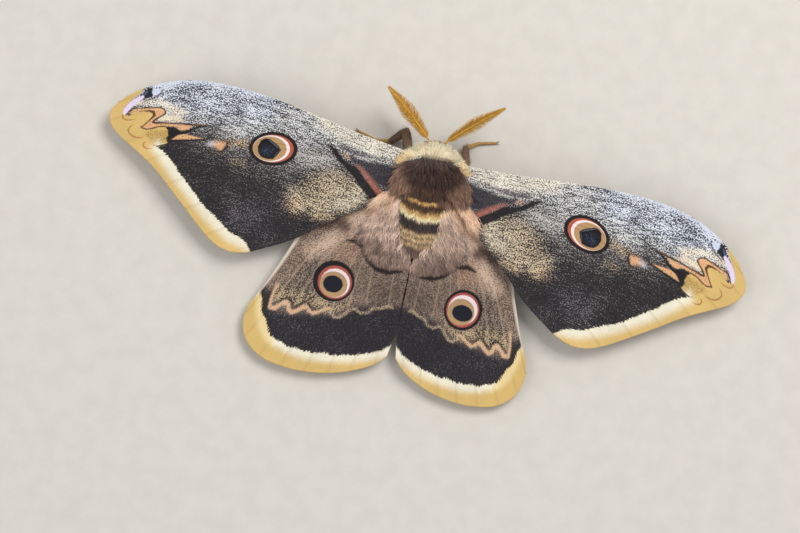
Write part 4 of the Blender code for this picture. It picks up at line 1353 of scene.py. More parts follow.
    def paint(self, obj: bpy.types.Object, points: np.ndarray, body: np.ndarray, u: np.ndarray, v: np.ndarray,
              chord: np.ndarray, nerve: np.ndarray) -> None:
        """Stores what the finish reads: the scales' mix, each mark's edge, and the run of the wing.

        Args:
            obj: The blade.
            points: Plan places of its vertices.
            body: Their places in the body frame.
            u: Their shares from root to margin.
            v: Their shares from front edge to inner margin.
            chord: The wing's width at each.
            nerve: How much of a vein is there.
        """
        count = len(points)
        share, light, dark = np.zeros(count), np.zeros((count, 4)), np.zeros((count, 4))
        for zone in self.zones:
            cover = ease(0.5 - Patch(zone.corners).distance(points) / zone.soft / 2)
            share = share * (1 - cover) + zone.share * cover
            light = light * (1 - cover[:, None]) + np.array(linear(zone.light)) * cover[:, None]
            dark = dark * (1 - cover[:, None]) + np.array(linear(zone.dark)) * cover[:, None]
        store(obj, "scale_share", share)
        store(obj, "pale_scales", light)
        store(obj, "dark_scales", dark)
        store(obj, "nerve", nerve)
        store(obj, "plan", np.column_stack([points, np.zeros(count)]))
        store(obj, "run", np.column_stack([u * self.span, v * chord, np.zeros(count)]))
        for mark, places in [(m, points) for m in self.marks] + [(m, body) for m in self.body_marks]:
            edge = np.min([shape.distance(places) for shape in mark.shapes], axis=0)
            store(obj, mark.name, np.clip(edge, -4.0, 4.0))

    def finish(self) -> bpy.types.Material:
        """The wing's finish: pale scales peppered over dark ones, and the marks laid over them.

        Returns:
            The material.
        """
        brush = Brush(f"{self.kind.value}_scales_{self.side.value}")
        plan, run = brush.attribute("plan", "Vector"), brush.attribute("run", "Vector")
        pepper = brush.noise(brush.stretch(plan, (1.0, 1.3, 1.0)), 3.2, 2, 0.62)
        streak = brush.noise(brush.stretch(run, (0.35, 3.0, 1.0)), 1.6, 3, 0.6)
        grain = brush.noise(brush.stretch(run, (2.4, 6.0, 1.0)), 1.4, 2, 0.6)
        cloud = brush.noise(plan, 0.16, 2)
        share = brush.sum("ADD", brush.attribute("scale_share"), brush.step(cloud, 0.3, 0.7, -0.06, 0.06))
        blotch = brush.step(brush.noise(brush.stretch(run, (0.4, 1.5, 1.0)), 0.8, 3, 0.6), 0.32, 0.68, -0.09, 0.09)
        share = brush.sum("ADD", share, blotch)
        level = brush.sum("MULTIPLY_ADD", share, 0.34, -0.17)
        mottle = brush.sum("ADD", brush.blend(pepper, streak, 0.25), level)
        pale = brush.step(mottle, 0.455, 0.545)
        color = brush.mix(pale, brush.attribute("dark_scales", "Color"), brush.attribute("pale_scales", "Color"))
        if self.kind is WingKind.HIND:
            ridge = brush.step(brush.attribute("nerve"), 0.4, 0.95, 0.0, 0.36)
            ridge = brush.sum("MULTIPLY", ridge, brush.step(brush.attribute("scale_share"), 0.3, 0.5))
            color = brush.mix(ridge, color, linear((198, 170, 142)))
        silk = brush.step(brush.noise(brush.stretch(run, (0.45, 4.6, 1.0)), 2.1, 2, 0.6), 0.56, 0.74, 0.0, 0.34)
        color = brush.mix(silk, color, linear((132, 120, 116)))
        stray = brush.sum("MULTIPLY_ADD", grain, 2.0, -1.0)
        teeth = brush.sum("MULTIPLY_ADD", streak, 2.0, -1.0)
        border = 1.0
        for mark in (*self.marks, *self.body_marks):
            wander = teeth if mark.name in ("ochre", "chalk") else stray
            edge = brush.sum("MULTIPLY_ADD", wander, mark.ragged * 2.2, brush.attribute(mark.name))
            cover = brush.step(edge, -mark.soft / 2, mark.soft / 2, mark.strength, 0.0)
            if mark.inside:
                cover = brush.sum("MULTIPLY", cover, border)
            if mark.pepper < 1:
                level = 0.5 - 0.34 * (mark.pepper - 0.5)
                cover = brush.sum("MULTIPLY", cover, brush.step(pepper, level - 0.04, level + 0.04))
            color = brush.mix(cover, color, linear(mark.tone))
            if mark.name == "ochre":
                border = cover
            if mark.name == "chalk":
                fold = brush.sum("MULTIPLY", brush.step(brush.attribute("nerve"), 0.1, 0.95, 0.0, 0.16), border)
                color = brush.mix(fold, color, linear((172, 134, 84)))
        tone = brush.sum("ADD", brush.step(grain, 0.25, 0.75, -0.10, 0.10), brush.step(cloud, 0.25, 0.75, 0.94, 1.06))
        color = brush.mix(1.0, color, tone, "MULTIPLY")
        brush.bump(brush.sum("ADD", grain, brush.sum("MULTIPLY", pepper, 0.6)), 0.35, 0.00012)
        return brush.surface(color, brush.step(grain, 0.2, 0.8, 0.62, 0.8), 0.12, 0.25)

    def build(self) -> bpy.types.Object:
        """Makes and dresses the wing."""
        node = f"{self.kind.value}_{self.side.value}"
        return dress(self.blade(), self.finish(), (node,))


@dataclass(frozen=True)
class Ring:
    """One ring of the trunk's skin."""

    station: float
    height: float
    half_width: float
    half_height: float


@dataclass(frozen=True)
class Coat:
    """Fur on a length of the trunk."""

    name: str
    slot: str
    front: float  # the foremost station that it grows on
    back: float
    arc: tuple[float, float]  # degrees round the trunk, 90 at the top
    count: int
    length: float
    width: float
    lie: tuple[float, float, float]  # sideways out, along Y and up
    fan: float  # how much the lie leans outwards with the distance from the middle
    strand: Strand
    coloring: Coloring
    reach: float | None = None  # the station that no tip passes
    split: float = 0.0  # how much it leans forwards in front of the parting
    sheen: float = 0.3


THORAX_TONES = Coloring(
    bands=(Band(9, (72, 47, 37)), Band(-3.6, (60, 38, 29)), Band(-9.4, (82, 55, 39))), vary=0.68, tip=1.7,
    flank=(120, 91, 72),
)
COLLAR_TONES = Coloring(bands=(Band(9, (246, 228, 192)), Band(-3.6, (236, 212, 168)), Band(-4.9, (224, 194, 142))),
                        vary=0.2, tip=1.15)
HEAD_TONES = Coloring(bands=(Band(9, (186, 164, 134)), Band(-0.4, (150, 124, 96))), vary=0.3)
ABDOMEN_TONES = Coloring(
    bands=(
        Band(9, (104, 70, 46)), Band(-11.3, (216, 170, 104)), Band(-12.3, (66, 42, 24)), Band(-13.2, (98, 66, 34)),
        Band(-14.0, (224, 184, 120)), Band(-14.9, (250, 224, 180)), Band(-15.7, (52, 38, 34)),
        Band(-17.6, (86, 62, 46)),
        Band(-18.1, (214, 184, 138)), Band(-18.7, (98, 72, 52)), Band(-19.1, (214, 184, 138)),
        Band(-19.8, (100, 76, 56)),
        Band(-20.3, (206, 176, 132)), Band(-21.0, (110, 86, 72)), Band(-22.8, (202, 174, 136)),
        Band(-24.0, (110, 84, 70)),
        Band(-26.2, (206, 180, 146)), Band(-27.6, (116, 90, 76)), Band(-30.0, (196, 168, 134)),
    ),
    vary=0.3, wave=0.3, soft=0.35, bow=0.06, tip=1.3,
)
ROOT_TONES = Coloring(bands=(Band(9, (212, 150, 104)), Band(-12.6, (224, 184, 156))), vary=0.5, soft=2.0, tip=1.3)


@dataclass(frozen=True)
class Form:
    """A rounded body drawn over rings, front ring first."""

    rings: tuple[Ring, ...]

    def at(self, share: np.ndarray, angle: np.ndarray) -> np.ndarray:
        """Places on the form.

        Args:
            share: Shares of the way from front to back.
            angle: Angles round it in radians, a quarter turn at the top.

        Returns:
            The places.
        """
        table = np.array([(r.station, r.height, r.half_width, r.half_height) for r in self.rings])
        rings = at_share(table, share)
        x = rings[:, 2] * np.cos(angle)
        return np.stack([x, rings[:, 0], rings[:, 1] + rings[:, 3] * np.sin(angle)], axis=1)

    def out(self, share: np.ndarray, angle: np.ndarray) -> np.ndarray:
        """Directions straight out of the form.

        Args:
            share: Shares of the way from front to back.
            angle: Angles round it.

        Returns:
            Vectors of length 1.
        """
        along = self.at(share + 0.02, angle) - self.at(share - 0.02, angle)
        around = self.at(share, angle + 0.05) - self.at(share, angle - 0.05)
        return unit(np.cross(along, around))

    def top(self, places: np.ndarray) -> np.ndarray:
        """Height of the form over places in the body frame.

        Args:
            places: Places across and along.

        Returns:
            Heights, down to its middle beside it.
        """
        table = np.array([(-r.station, r.height, r.half_width, r.half_height) for r in self.rings]).T
        height, wide, tall = (np.interp(-places[:, 1], table[0], row) for row in table[1:])
        return height + tall * np.sqrt(np.clip(1 - (places[:, 0] / wide) ** 2, 0.0, 1.0))

    def ball(self) -> bpy.types.Object:
        """The form from a ball drawn out over its rings, in millimetres.

        Returns:
            The form's mesh object.
        """
        deselect()
        bpy.ops.mesh.primitive_uv_sphere_add(segments=48, ring_count=96, radius=1)
        obj = start_piece("trunk_skin")
        shape = read_places(obj)
        share = (1 - np.arcsin(np.clip(shape[:, 2], -1, 1)) / (math.pi / 2)) / 2
        angle = np.arctan2(shape[:, 1], shape[:, 0])
        pole = np.hypot(shape[:, 0], shape[:, 1]) < 1e-5
        places = self.at(share, angle)
        centre = (self.at(share, angle * 0) + self.at(share, angle * 0 + math.pi)) / 2
        places[pole] = centre[pole]
        obj.data.vertices.foreach_set("co", places.ravel())
        bpy.ops.object.mode_set(mode="EDIT")
        bpy.ops.mesh.select_all(action="SELECT")
        bpy.ops.mesh.normals_make_consistent(inside=False)
        bpy.ops.object.mode_set(mode="OBJECT")
        return obj


HEAD = Form((
    Ring(1.0, 5.1, 0.8, 1.0), Ring(0.3, 5.2, 1.5, 1.6), Ring(-0.8, 5.3, 1.8, 1.8),
    Ring(-1.9, 5.5, 1.7, 1.7), Ring(-3.0, 5.8, 1.2, 1.2),
))
BODY = Form((
    Ring(-0.8, 7.7, 0.7, 1.0), Ring(-1.1, 7.6, 1.7, 2.1), Ring(-1.8, 7.4, 3.1, 3.2), Ring(-2.6, 7.2, 4.1, 3.7),
    Ring(-3.6, 7.0, 4.4, 4.1), Ring(-4.8, 6.9, 4.8, 4.55), Ring(-6.6, 6.8, 4.95, 4.75), Ring(-8.4, 6.6, 4.6, 4.5),
    Ring(-9.7, 6.3, 3.8, 3.8), Ring(-10.8, 6.0, 3.0, 3.0), Ring(-13.0, 5.7, 3.3, 3.0), Ring(-17.0, 5.2, 3.3, 2.9),
    Ring(-21.0, 4.7, 3.0, 2.6), Ring(-25.0, 4.2, 2.5, 2.1), Ring(-28.5, 3.7, 1.8, 1.55), Ring(-30.6, 3.4, 0.8, 0.8),
))
HEAD_COAT = Coat(
    "head_coat", "head_fur", 1.0, -1.8, (-180, 180), 1500, 1.3, 0.16, (0.3, 0.6, -0.5), 0.3,
    Strand(rise=0.7, droop=0.4), HEAD_TONES, reach=1.3,
)
BODY_COATS = (
    Coat("thorax_coat", "thorax_fur", -2.9, -10.2, (-20, 200), 4600, 3.3, 0.23, (0.0, -0.62, 0.1), 0.2,
         Strand(rise=1.0, droop=0.38, wave=0.04), THORAX_TONES, reach=-12.0, split=0.42),
    Coat("thorax_under_coat", "thorax_fur", -3.6, -10.2, (200, 340), 2200, 2.6, 0.24, (0.0, -1.0, 0.0), 0.1,
         Strand(rise=0.4, droop=0.5), THORAX_TONES, reach=-11.6),
    Coat("collar_coat", "collar_fur", -0.8, -3.3, (-30, 210), 3400, 2.0, 0.17, (0.0, 1.0, 0.1), 0.5,
         Strand(rise=0.7, droop=0.5), COLLAR_TONES, reach=0.6),
    Coat("abdomen_coat", "abdomen_fur", -10.4, -30.0, (-20, 200), 4600, 2.7, 0.21, (0.0, -1.0, 0.0), 0.06,
         Strand(rise=0.6, droop=0.45, wave=0.03), ABDOMEN_TONES, reach=-32.8),
    Coat("abdomen_under_coat", "abdomen_fur", -10.4, -30.0, (200, 340), 2600, 2.8, 0.26, (0.0, -1.0, 0.0), 0.04,
         Strand(rise=0.3, droop=0.6), ABDOMEN_TONES, reach=-32.8),
)


@dataclass
class Trunk:
    """Head, thorax and abdomen: one skin under the fur."""

    grain: float = 0.16  # how finely the skin is meshed
    parting: float = -4.6  # the station where the thorax's fur parts to front and back

    def skin(self) -> bpy.types.Object:
        """The skin: head and body grown into one.

        Returns:
            The skin.
        """
        parts = [form.ball() for form in (HEAD, BODY)]
        deselect()
        for part in parts:
            part.select_set(True)
        bpy.context.view_layer.objects.active = parts[-1]
        bpy.ops.object.join()
        obj = parts[-1]
        merge = obj.modifiers.new("one_skin", "REMESH")
        merge.mode = "VOXEL"
        merge.voxel_size = self.grain
        bpy.ops.object.modifier_apply(modifier=merge.name)
        even = obj.modifiers.new("even", "SMOOTH")
        even.iterations = 6
        bpy.ops.object.modifier_apply(modifier=even.name)
        places = read_places(obj)
        place_vertices(obj, places)
        tones = np.zeros((len(places), 4))
        middle = np.full(len(places), 0.5)
        for front, coloring in ((9.0, HEAD_TONES), (-0.9, COLLAR_TONES), (-2.8, THORAX_TONES), (-10.6, ABDOMEN_TONES)):
            there = places[:, 1] < front
            # The skin takes the colour at a tuft's root, so it carries the same painted shade of the fur's depth.
            tones[there] = coloring.colours(places, places, middle * 0, middle)[there]
        store(obj, "fur", tones)
        obj.data.shade_smooth()
        return obj

    def roots(self, form: Form, coat: Coat, seed: int) -> Roots:
        """Where a coat's tufts grow, spread evenly over its length of the trunk.

        Args:
            form: The form that it grows on.
            coat: The coat.
            seed: Seed for their small differences.

        Returns:
            The roots.
        """
        rng = np.random.default_rng(seed)
        stations = np.array([r.station for r in form.rings])
        shares = np.linspace(0, 1, len(stations))
        index = np.arange(coat.count) + 0.5
        place = coat.front + (coat.back - coat.front) * ((index * GOLDEN[0]) % 1.0)
        share = np.interp(-place, -stations, shares)
        low, high = (math.radians(a) for a in coat.arc)
        angle = low + (high - low) * ((index * GOLDEN[1]) % 1.0)
        skin, out = form.at(share, angle), form.out(share, angle)
        lie = np.tile(np.array(coat.lie), (coat.count, 1))
        lie[:, 0] += coat.fan * skin[:, 0]
        lie[:, 1] += coat.split * np.clip(skin[:, 1] - self.parting, -3.0, 3.0)
        lie += rng.normal(0.0, 0.13, lie.shape)
        lie = unit(lie - out * np.sum(lie * out, axis=1, keepdims=True))
        length = coat.length * rng.uniform(0.72, 1.15, coat.count)
        if coat.reach is not None:
            room = np.abs(coat.reach - skin[:, 1]) / np.maximum(np.abs(lie[:, 1]), 0.2)
            length = np.where(lie[:, 1] * (coat.reach - skin[:, 1]) > 0, np.minimum(length, room), length)
        width = coat.width * rng.uniform(0.75, 1.25, coat.count)
        patch = np.stack([0.02 + 0.95 * (angle / (2 * math.pi) % 1.0), 0.02 + 0.95 * share], axis=1)
        roots = Roots(skin, out, lie, length, width, patch, rng.random(coat.count))
        return roots.gathered(34, 0.6, seed)

    def build(self) -> None:
        """Makes and dresses the skin and its coats."""
        dress(self.skin(), fur_finish("skin_fur", 0.2), ("head", "collar", "thorax", "abdomen"))
        for seed, coat in enumerate((HEAD_COAT, *BODY_COATS)):
            form = HEAD if coat is HEAD_COAT else BODY
            made = grow(coat.name, self.roots(form, coat, seed), coat.strand, coat.coloring, seed + 40)
            dress(made, fur_finish(coat.name + "_finish", coat.sheen))


@dataclass(frozen=True)
class Cloak:
    """Fur that spills from the trunk's back over the wing roots, planted from above."""

    name: str
    slot: str
    outline: Points
    count: int
    length: float
    width: float
    lie: tuple[float, float]
    fan: float  # how much the lie leans outwards with the distance from the middle
    split: float  # how much it leans forwards in front of the parting
    strand: Strand
    coloring: Coloring
    parting: float = -5.0
    turn_out: float = 0.0  # how much the tufts lean outwards from upright at the sides
    lock: int = 24
    pull: float = 0.5
    bridged: bool = False  # it also lies over the gap between the hindwings

    def roots(self, flats: list[Wing], seed: int) -> Roots:
        """Where the tufts grow, on whatever is uppermost there.

        Args:
            flats: The wings.
            seed: Seed for their small differences.

        Returns:
            The roots.
        """
        rng = np.random.default_rng(seed)
        corners = np.array(self.outline, float)
        low, high = corners.min(axis=0), corners.max(axis=0)
        index = np.arange(self.count * 3)[:, None] + 0.5
        plan = low + (high - low) * ((index * np.array(GOLDEN)) % 1.0)
        plan = plan[Patch(self.outline).distance(plan) < 0][: self.count]
        count = len(plan)
        lean = np.tile(np.array(self.lie), (count, 1))
        lean[:, 0] += self.fan * plan[:, 0]
        lean[:, 1] += self.split * np.clip(plan[:, 1] - self.parting, -3.0, 3.0)
        lean = unit(lean + rng.normal(0.0, 0.14, lean.shape))
        here, ahead = (self.surface(flats, places) for places in (plan, plan + lean * 0.8))
        slope = np.clip((ahead - here) / 0.8, -0.9, 0.5)
        lie = unit(np.column_stack([lean, slope]))
        out = np.column_stack([self.turn_out * plan[:, 0], np.zeros(count), np.ones(count)])
        out = unit(out - lie * np.sum(lie * out, axis=1, keepdims=True))
        patch = 0.02 + 0.95 * (plan - low) / (high - low)
        length = self.length * rng.uniform(0.72, 1.15, count)
        width = self.width * rng.uniform(0.75, 1.25, count)
        place = np.column_stack([plan, here - 0.05])
        roots = Roots(place, out, lie, length, width, patch, rng.random(count))
        return roots.gathered(self.lock, self.pull, seed)

    def surface(self, flats: list[Wing], places: np.ndarray) -> np.ndarray:
        """Height of whatever is uppermost, trunk or wing."""
        heights = [BODY.top(places), *(wing.height(places) for wing in flats)]
        if self.bridged:
            heights.append(flats[-1].tent(*places.T) + 0.1)
        return np.max(heights, axis=0)

    def build(self, flats: list[Wing], seed: int) -> None:
        """Makes and dresses the fur."""
        made = grow(self.name, self.roots(flats, seed), self.strand, self.coloring, seed)
        dress(made, fur_finish(self.name + "_finish", 0.3))


CLOAKS = (
    Cloak("abdomen_cloak", "abdomen_fur",
          ((-4.2, -10.4), (4.2, -10.4), (4.6, -12.4), (4.2, -15.2), (3.2, -18.0), (1.8, -21.4), (-1.8, -21.4),
           (-3.2, -18.0), (-4.2, -15.2), (-4.8, -12.4)),
          5200, 1.9, 0.2, (0.0, -1.0), 0.05, 0.0, Strand(rise=0.5, droop=0.5, wave=0.04), ABDOMEN_TONES, bridged=True),
    Cloak("root_hair_left", "hindwing",
          ((-4.2, -9.4), (-6.8, -9.2), (-9.2, -11.4), (-8.6, -14.4), (-6.0, -13.0), (-4.6, -14.0)),
          1100, 4.0, 0.16, (-0.35, -1.0), 0.05, 0.0, Strand(rings=4, rise=0.35, droop=0.6, wave=0.08), ROOT_TONES),
    Cloak("root_hair_right", "hindwing",
          ((4.4, -10.0), (7.2, -9.8), (9.6, -11.6), (9.2, -14.8), (6.8, -13.4), (5.0, -14.6)),
          1100, 4.0, 0.16, (0.35, -1.0), 0.05, 0.0, Strand(rings=4, rise=0.35, droop=0.6, wave=0.08), ROOT_TONES),
    Cloak("thorax_cloak", "thorax_fur",
          ((-6.3, -5.6), (-5.2, -4.3), (-2.4, -3.0), (3.4, -3.1), (5.3, -4.3), (6.9, -6.2), (7.7, -8.2), (7.2, -9.6),
           (3.4, -10.2), (0.0, -9.8), (-3.4, -10.0), (-6.0, -9.6), (-6.7, -7.6)),
          6800, 2.7, 0.21, (0.0, -0.8), 0.12, 0.3, Strand(rings=4, rise=0.9, droop=0.42, wave=0.07), THORAX_TONES,
          turn_out=0.05,
          lock=60, pull=0.65),
    Cloak("collar_cloak", "collar_fur",
          ((-6.0, -5.6), (-4.6, -4.0), (-1.4, -2.6), (3.3, -2.7), (4.6, -3.6), (6.1, -5.6), (6.6, -5.4), (4.9, -2.9),
           (2.8, -1.1), (-0.3, -0.7), (-2.8, -1.3), (-4.6, -2.9), (-6.2, -5.1)),
          4400, 1.75, 0.16, (0.0, 1.0), 0.3, 0.0, Strand(rise=0.7, droop=0.5, wave=0.03), COLLAR_TONES, turn_out=0.04),
)


@dataclass
class WingHair:
    """Long soft hair over the inner base of a hindwing."""

    wing: Wing
    arc: Stroke  # the wing's dark arc line that its tips come down to, whose inner end is painted shadow of the tips
    count: int = 4000
    length: float = 4.4
    width: float = 0.21
    front: float = -9.6
    back: float = -24.4
    outer: Points = ((-24.4, 6.4), (-22.0, 7.6), (-20.0, 8.6), (-18.0, 9.2), (-16.0, 8.8), (-14.0, 7.8), (-9.6, 4.4))
    tones: Coloring = Coloring(
        bands=(Band(9, (202, 160, 128)), Band(-12.0, (192, 166, 148)), Band(-18.0, (178, 154, 138)),
               Band(-23.4, (134, 110, 96))),
        vary=0.74, wave=0.8, soft=3.0, tip=1.4,
    )

    def roots(self) -> Roots:
        """Where the hair grows, and its lie back and inwards.

        Returns:
            The roots.
        """
        rng = np.random.default_rng(7 if self.wing.side is Side.LEFT else 8)
        index = np.arange(self.count) + 0.5
        along = (index * GOLDEN[0]) % 1.0
        y = self.front + (self.back - self.front) * along
        inner = np.array(self.wing.plan.inner)[::-1]
        start = np.interp(y, inner[:, 1], inner[:, 0]) + 1.5 * (1 - along)
        x = start + (np.interp(y, *np.array(self.outer).T) - start) * ((index * GOLDEN[1]) % 1.0)
        flat = np.stack([x, y], axis=1)
        step = np.stack([-0.16 + 0.07 * (x - 1), np.full(self.count, -1.0)], axis=1)
        step[:, 0] += 0.1 * np.maximum(x - 4.5, 0) * (1 - along) + rng.normal(0, 0.12, self.count)
        front = np.interp(x, *np.array(self.wing.plan.costa).T)
        here = self.wing.place(flat, front)
        lie = unit(self.wing.place(flat + step * 0.5, front) - here)
        side = np.stack([-lie[:, 1], lie[:, 0], np.zeros(self.count)], axis=1)
        out = unit(np.cross(lie, side))
        out *= np.sign(out[:, 2:])
        here[:, 2] += self.wing.top
        length = self.length * rng.uniform(0.7, 1.15, self.count)
        room = y - np.interp(x, *np.array(self.arc.path)[:, :2].T) - 0.5 * rng.random(self.count)
        length = np.minimum(length, np.maximum(room, 0.4))
        patch = np.stack([0.02 + 0.95 * (x + 2) / 14, 0.02 + 0.95 * along], axis=1)
        width = self.width * rng.uniform(0.7, 1.2, self.count)
        return Roots(here, out, lie, length, width, patch, rng.random(self.count)).gathered(22, 0.55, 3)

    def build(self) -> None:
        """Makes and dresses the hair."""
        side = self.wing.side
        name = f"wing_hair_{side.value}"
        made = grow(name, self.roots(), Strand(rings=7, rise=0.3, droop=0.66, wave=0.11), self.tones, 60 + side.sign)
        dress(made, fur_finish(name + "_finish", 0.4))


@dataclass
class Antenna:
    """A feathered antenna: a shaft with fine rami, each fringed with finer hairs."""

    side: Side
    root: tuple[float, float, float] = (1.05, 0.2, 6.6)
    tips: dict[Side, tuple[float, float, float]] = field(
        default_factory=lambda: {Side.LEFT: (-11.4, 9.6, 9.4), Side.RIGHT: (12.2, 9.6, 9.4)}
    )
    rolls: dict[Side, float] = field(default_factory=lambda: {Side.LEFT: 12.0, Side.RIGHT: 38.0})
    bow: float = 0.25
    radii: tuple[float, float] = (0.2, 0.09)
    joints: int = 62
    ramus: float = 1.85
    first: float = 0.1
    last: float = 0.985

    def path(self, count: int) -> np.ndarray:
        """The shaft's middle.

        Args:
            count: How many points.

        Returns:
            Places in the body frame.
        """
        root = np.array(self.root) * (self.side.sign, 1, 1)
        tip = np.array(self.tips[self.side])
        line = tip - root
        forward = unit(np.array((-line[1] * self.side.sign, line[0] * self.side.sign, 0.0)))
        t = np.linspace(0, 1, count)[:, None]
        return root + line * t + forward * (4 * self.bow * t * (1 - t))

    def build(self) -> None:
        """Makes and dresses the shaft and its rami."""
        path = self.path(25)
        name = f"antenna_{self.side.value}"
        finish = self.finish()
        shaft = tube(f"antenna_shaft_{self.side.value}", path, np.linspace(*self.radii, 25), 8)
        shaft.data.shade_smooth()
        dress(shaft, finish, (name,))
        dress(self.comb(path), finish)

    def comb(self, path: np.ndarray) -> bpy.types.Object:
        """The rami down both sides, two to a joint, with their hairs.

        Args:
            path: The shaft's middle.

        Returns:
            The comb.
        """
        rng = np.random.default_rng(90 + self.side.sign)
        t = np.repeat(np.linspace(self.first, self.last, self.joints), 4)
        turn = np.tile([1.0, 1.0, -1.0, -1.0], self.joints)
        pair = np.tile([0.0, 1.0, 0.0, 1.0], self.joints)
        t = np.clip(t + pair * 0.4 / self.joints, 0, 1)
        place = at_share(path, t)
        along = unit(at_share(path, np.clip(t + 0.04, 0, 1)) - at_share(path, np.clip(t - 0.04, 0, 1)))
        flat = unit(np.cross(along, (0.0, 0.0, 1.0)))
        up = np.cross(flat, along)
        roll = math.radians(self.rolls[self.side])
        flat, up = flat * math.cos(roll) - up * math.sin(roll), up * math.cos(roll) + flat * math.sin(roll)
        share = np.minimum(1.0, 0.5 + 1.6 * (t - self.first)) * np.minimum(1.0, 0.12 + 1.7 * (1 - t))
        length = 1.22 * self.ramus * share * rng.uniform(0.94, 1.06, len(t))
        lift = np.where(pair > 0, 0.16, -0.12)[:, None]
        lie = unit(flat * turn[:, None] + along * 0.95 + up * lift)
        out = unit(up - lie * np.sum(lie * up, axis=1, keepdims=True))
        patch = np.stack([0.02 + 0.45 * t + 0.48 * (turn > 0), 0.1 + 0.4 * pair], axis=1)
        rami = Roots(place, out, lie, length, np.full(len(t), 0.24), patch, rng.random(len(t)))
        hairs = self.hairs(rami, along, rng)
        both = Roots(*(np.concatenate([getattr(rami, key), getattr(hairs, key)]) for key in vars(rami)))
        tones = Coloring(bands=(Band(40, (222, 176, 50)),), vary=0.16, tip=1.15)
        return grow(f"antenna_comb_{self.side.value}", both, Strand(rise=0.06, droop=0.5, thickness=0.8), tones, 95)

    def hairs(self, rami: Roots, along: np.ndarray, rng: np.random.Generator) -> Roots:
        """The fine hairs along each ramus.

        Args:
            rami: The rami.
            along: The shaft's direction at each.
            rng: Their small differences.

        Returns:
            The hairs' roots.
        """
        steps = np.tile(np.linspace(0.1, 0.94, 8), len(rami.place))
        pick = np.repeat(np.arange(len(rami.place)), 8)
        place = rami.place[pick] + rami.lie[pick] * (rami.length[pick] * steps)[:, None]
        way = np.where(rng.random(len(pick)) < 0.5, 1.0, -1.0)[:, None]
        lie = unit(rami.lie[pick] * 0.7 + along[pick] * way * 0.9 + rng.normal(0, 0.2, (len(pick), 3)))
        out = unit(rami.out[pick] - lie * np.sum(lie * rami.out[pick], axis=1, keepdims=True))
        length = rng.uniform(0.16, 0.28, len(pick)) * np.minimum(1.0, rami.length[pick])
        return Roots(place, out, lie, length, np.full(len(pick), 0.07), rami.patch[pick] + (0.0, 0.2),
                     rng.random(len(pick)))

    def finish(self) -> bpy.types.Material:
        """Golden horn, speckled in a darker and a lighter gold."""
        brush = Brush(f"antenna_horn_{self.side.value}")
        speck = brush.noise(brush.objects(), 3800, 2)
        color = brush.mix(brush.step(speck, 0.35, 0.65), linear((186, 132, 32)), linear((222, 174, 62)))
        return brush.surface(color, brush.step(speck, 0.3, 0.7, 0.5, 0.7), 0.2, 0.3)


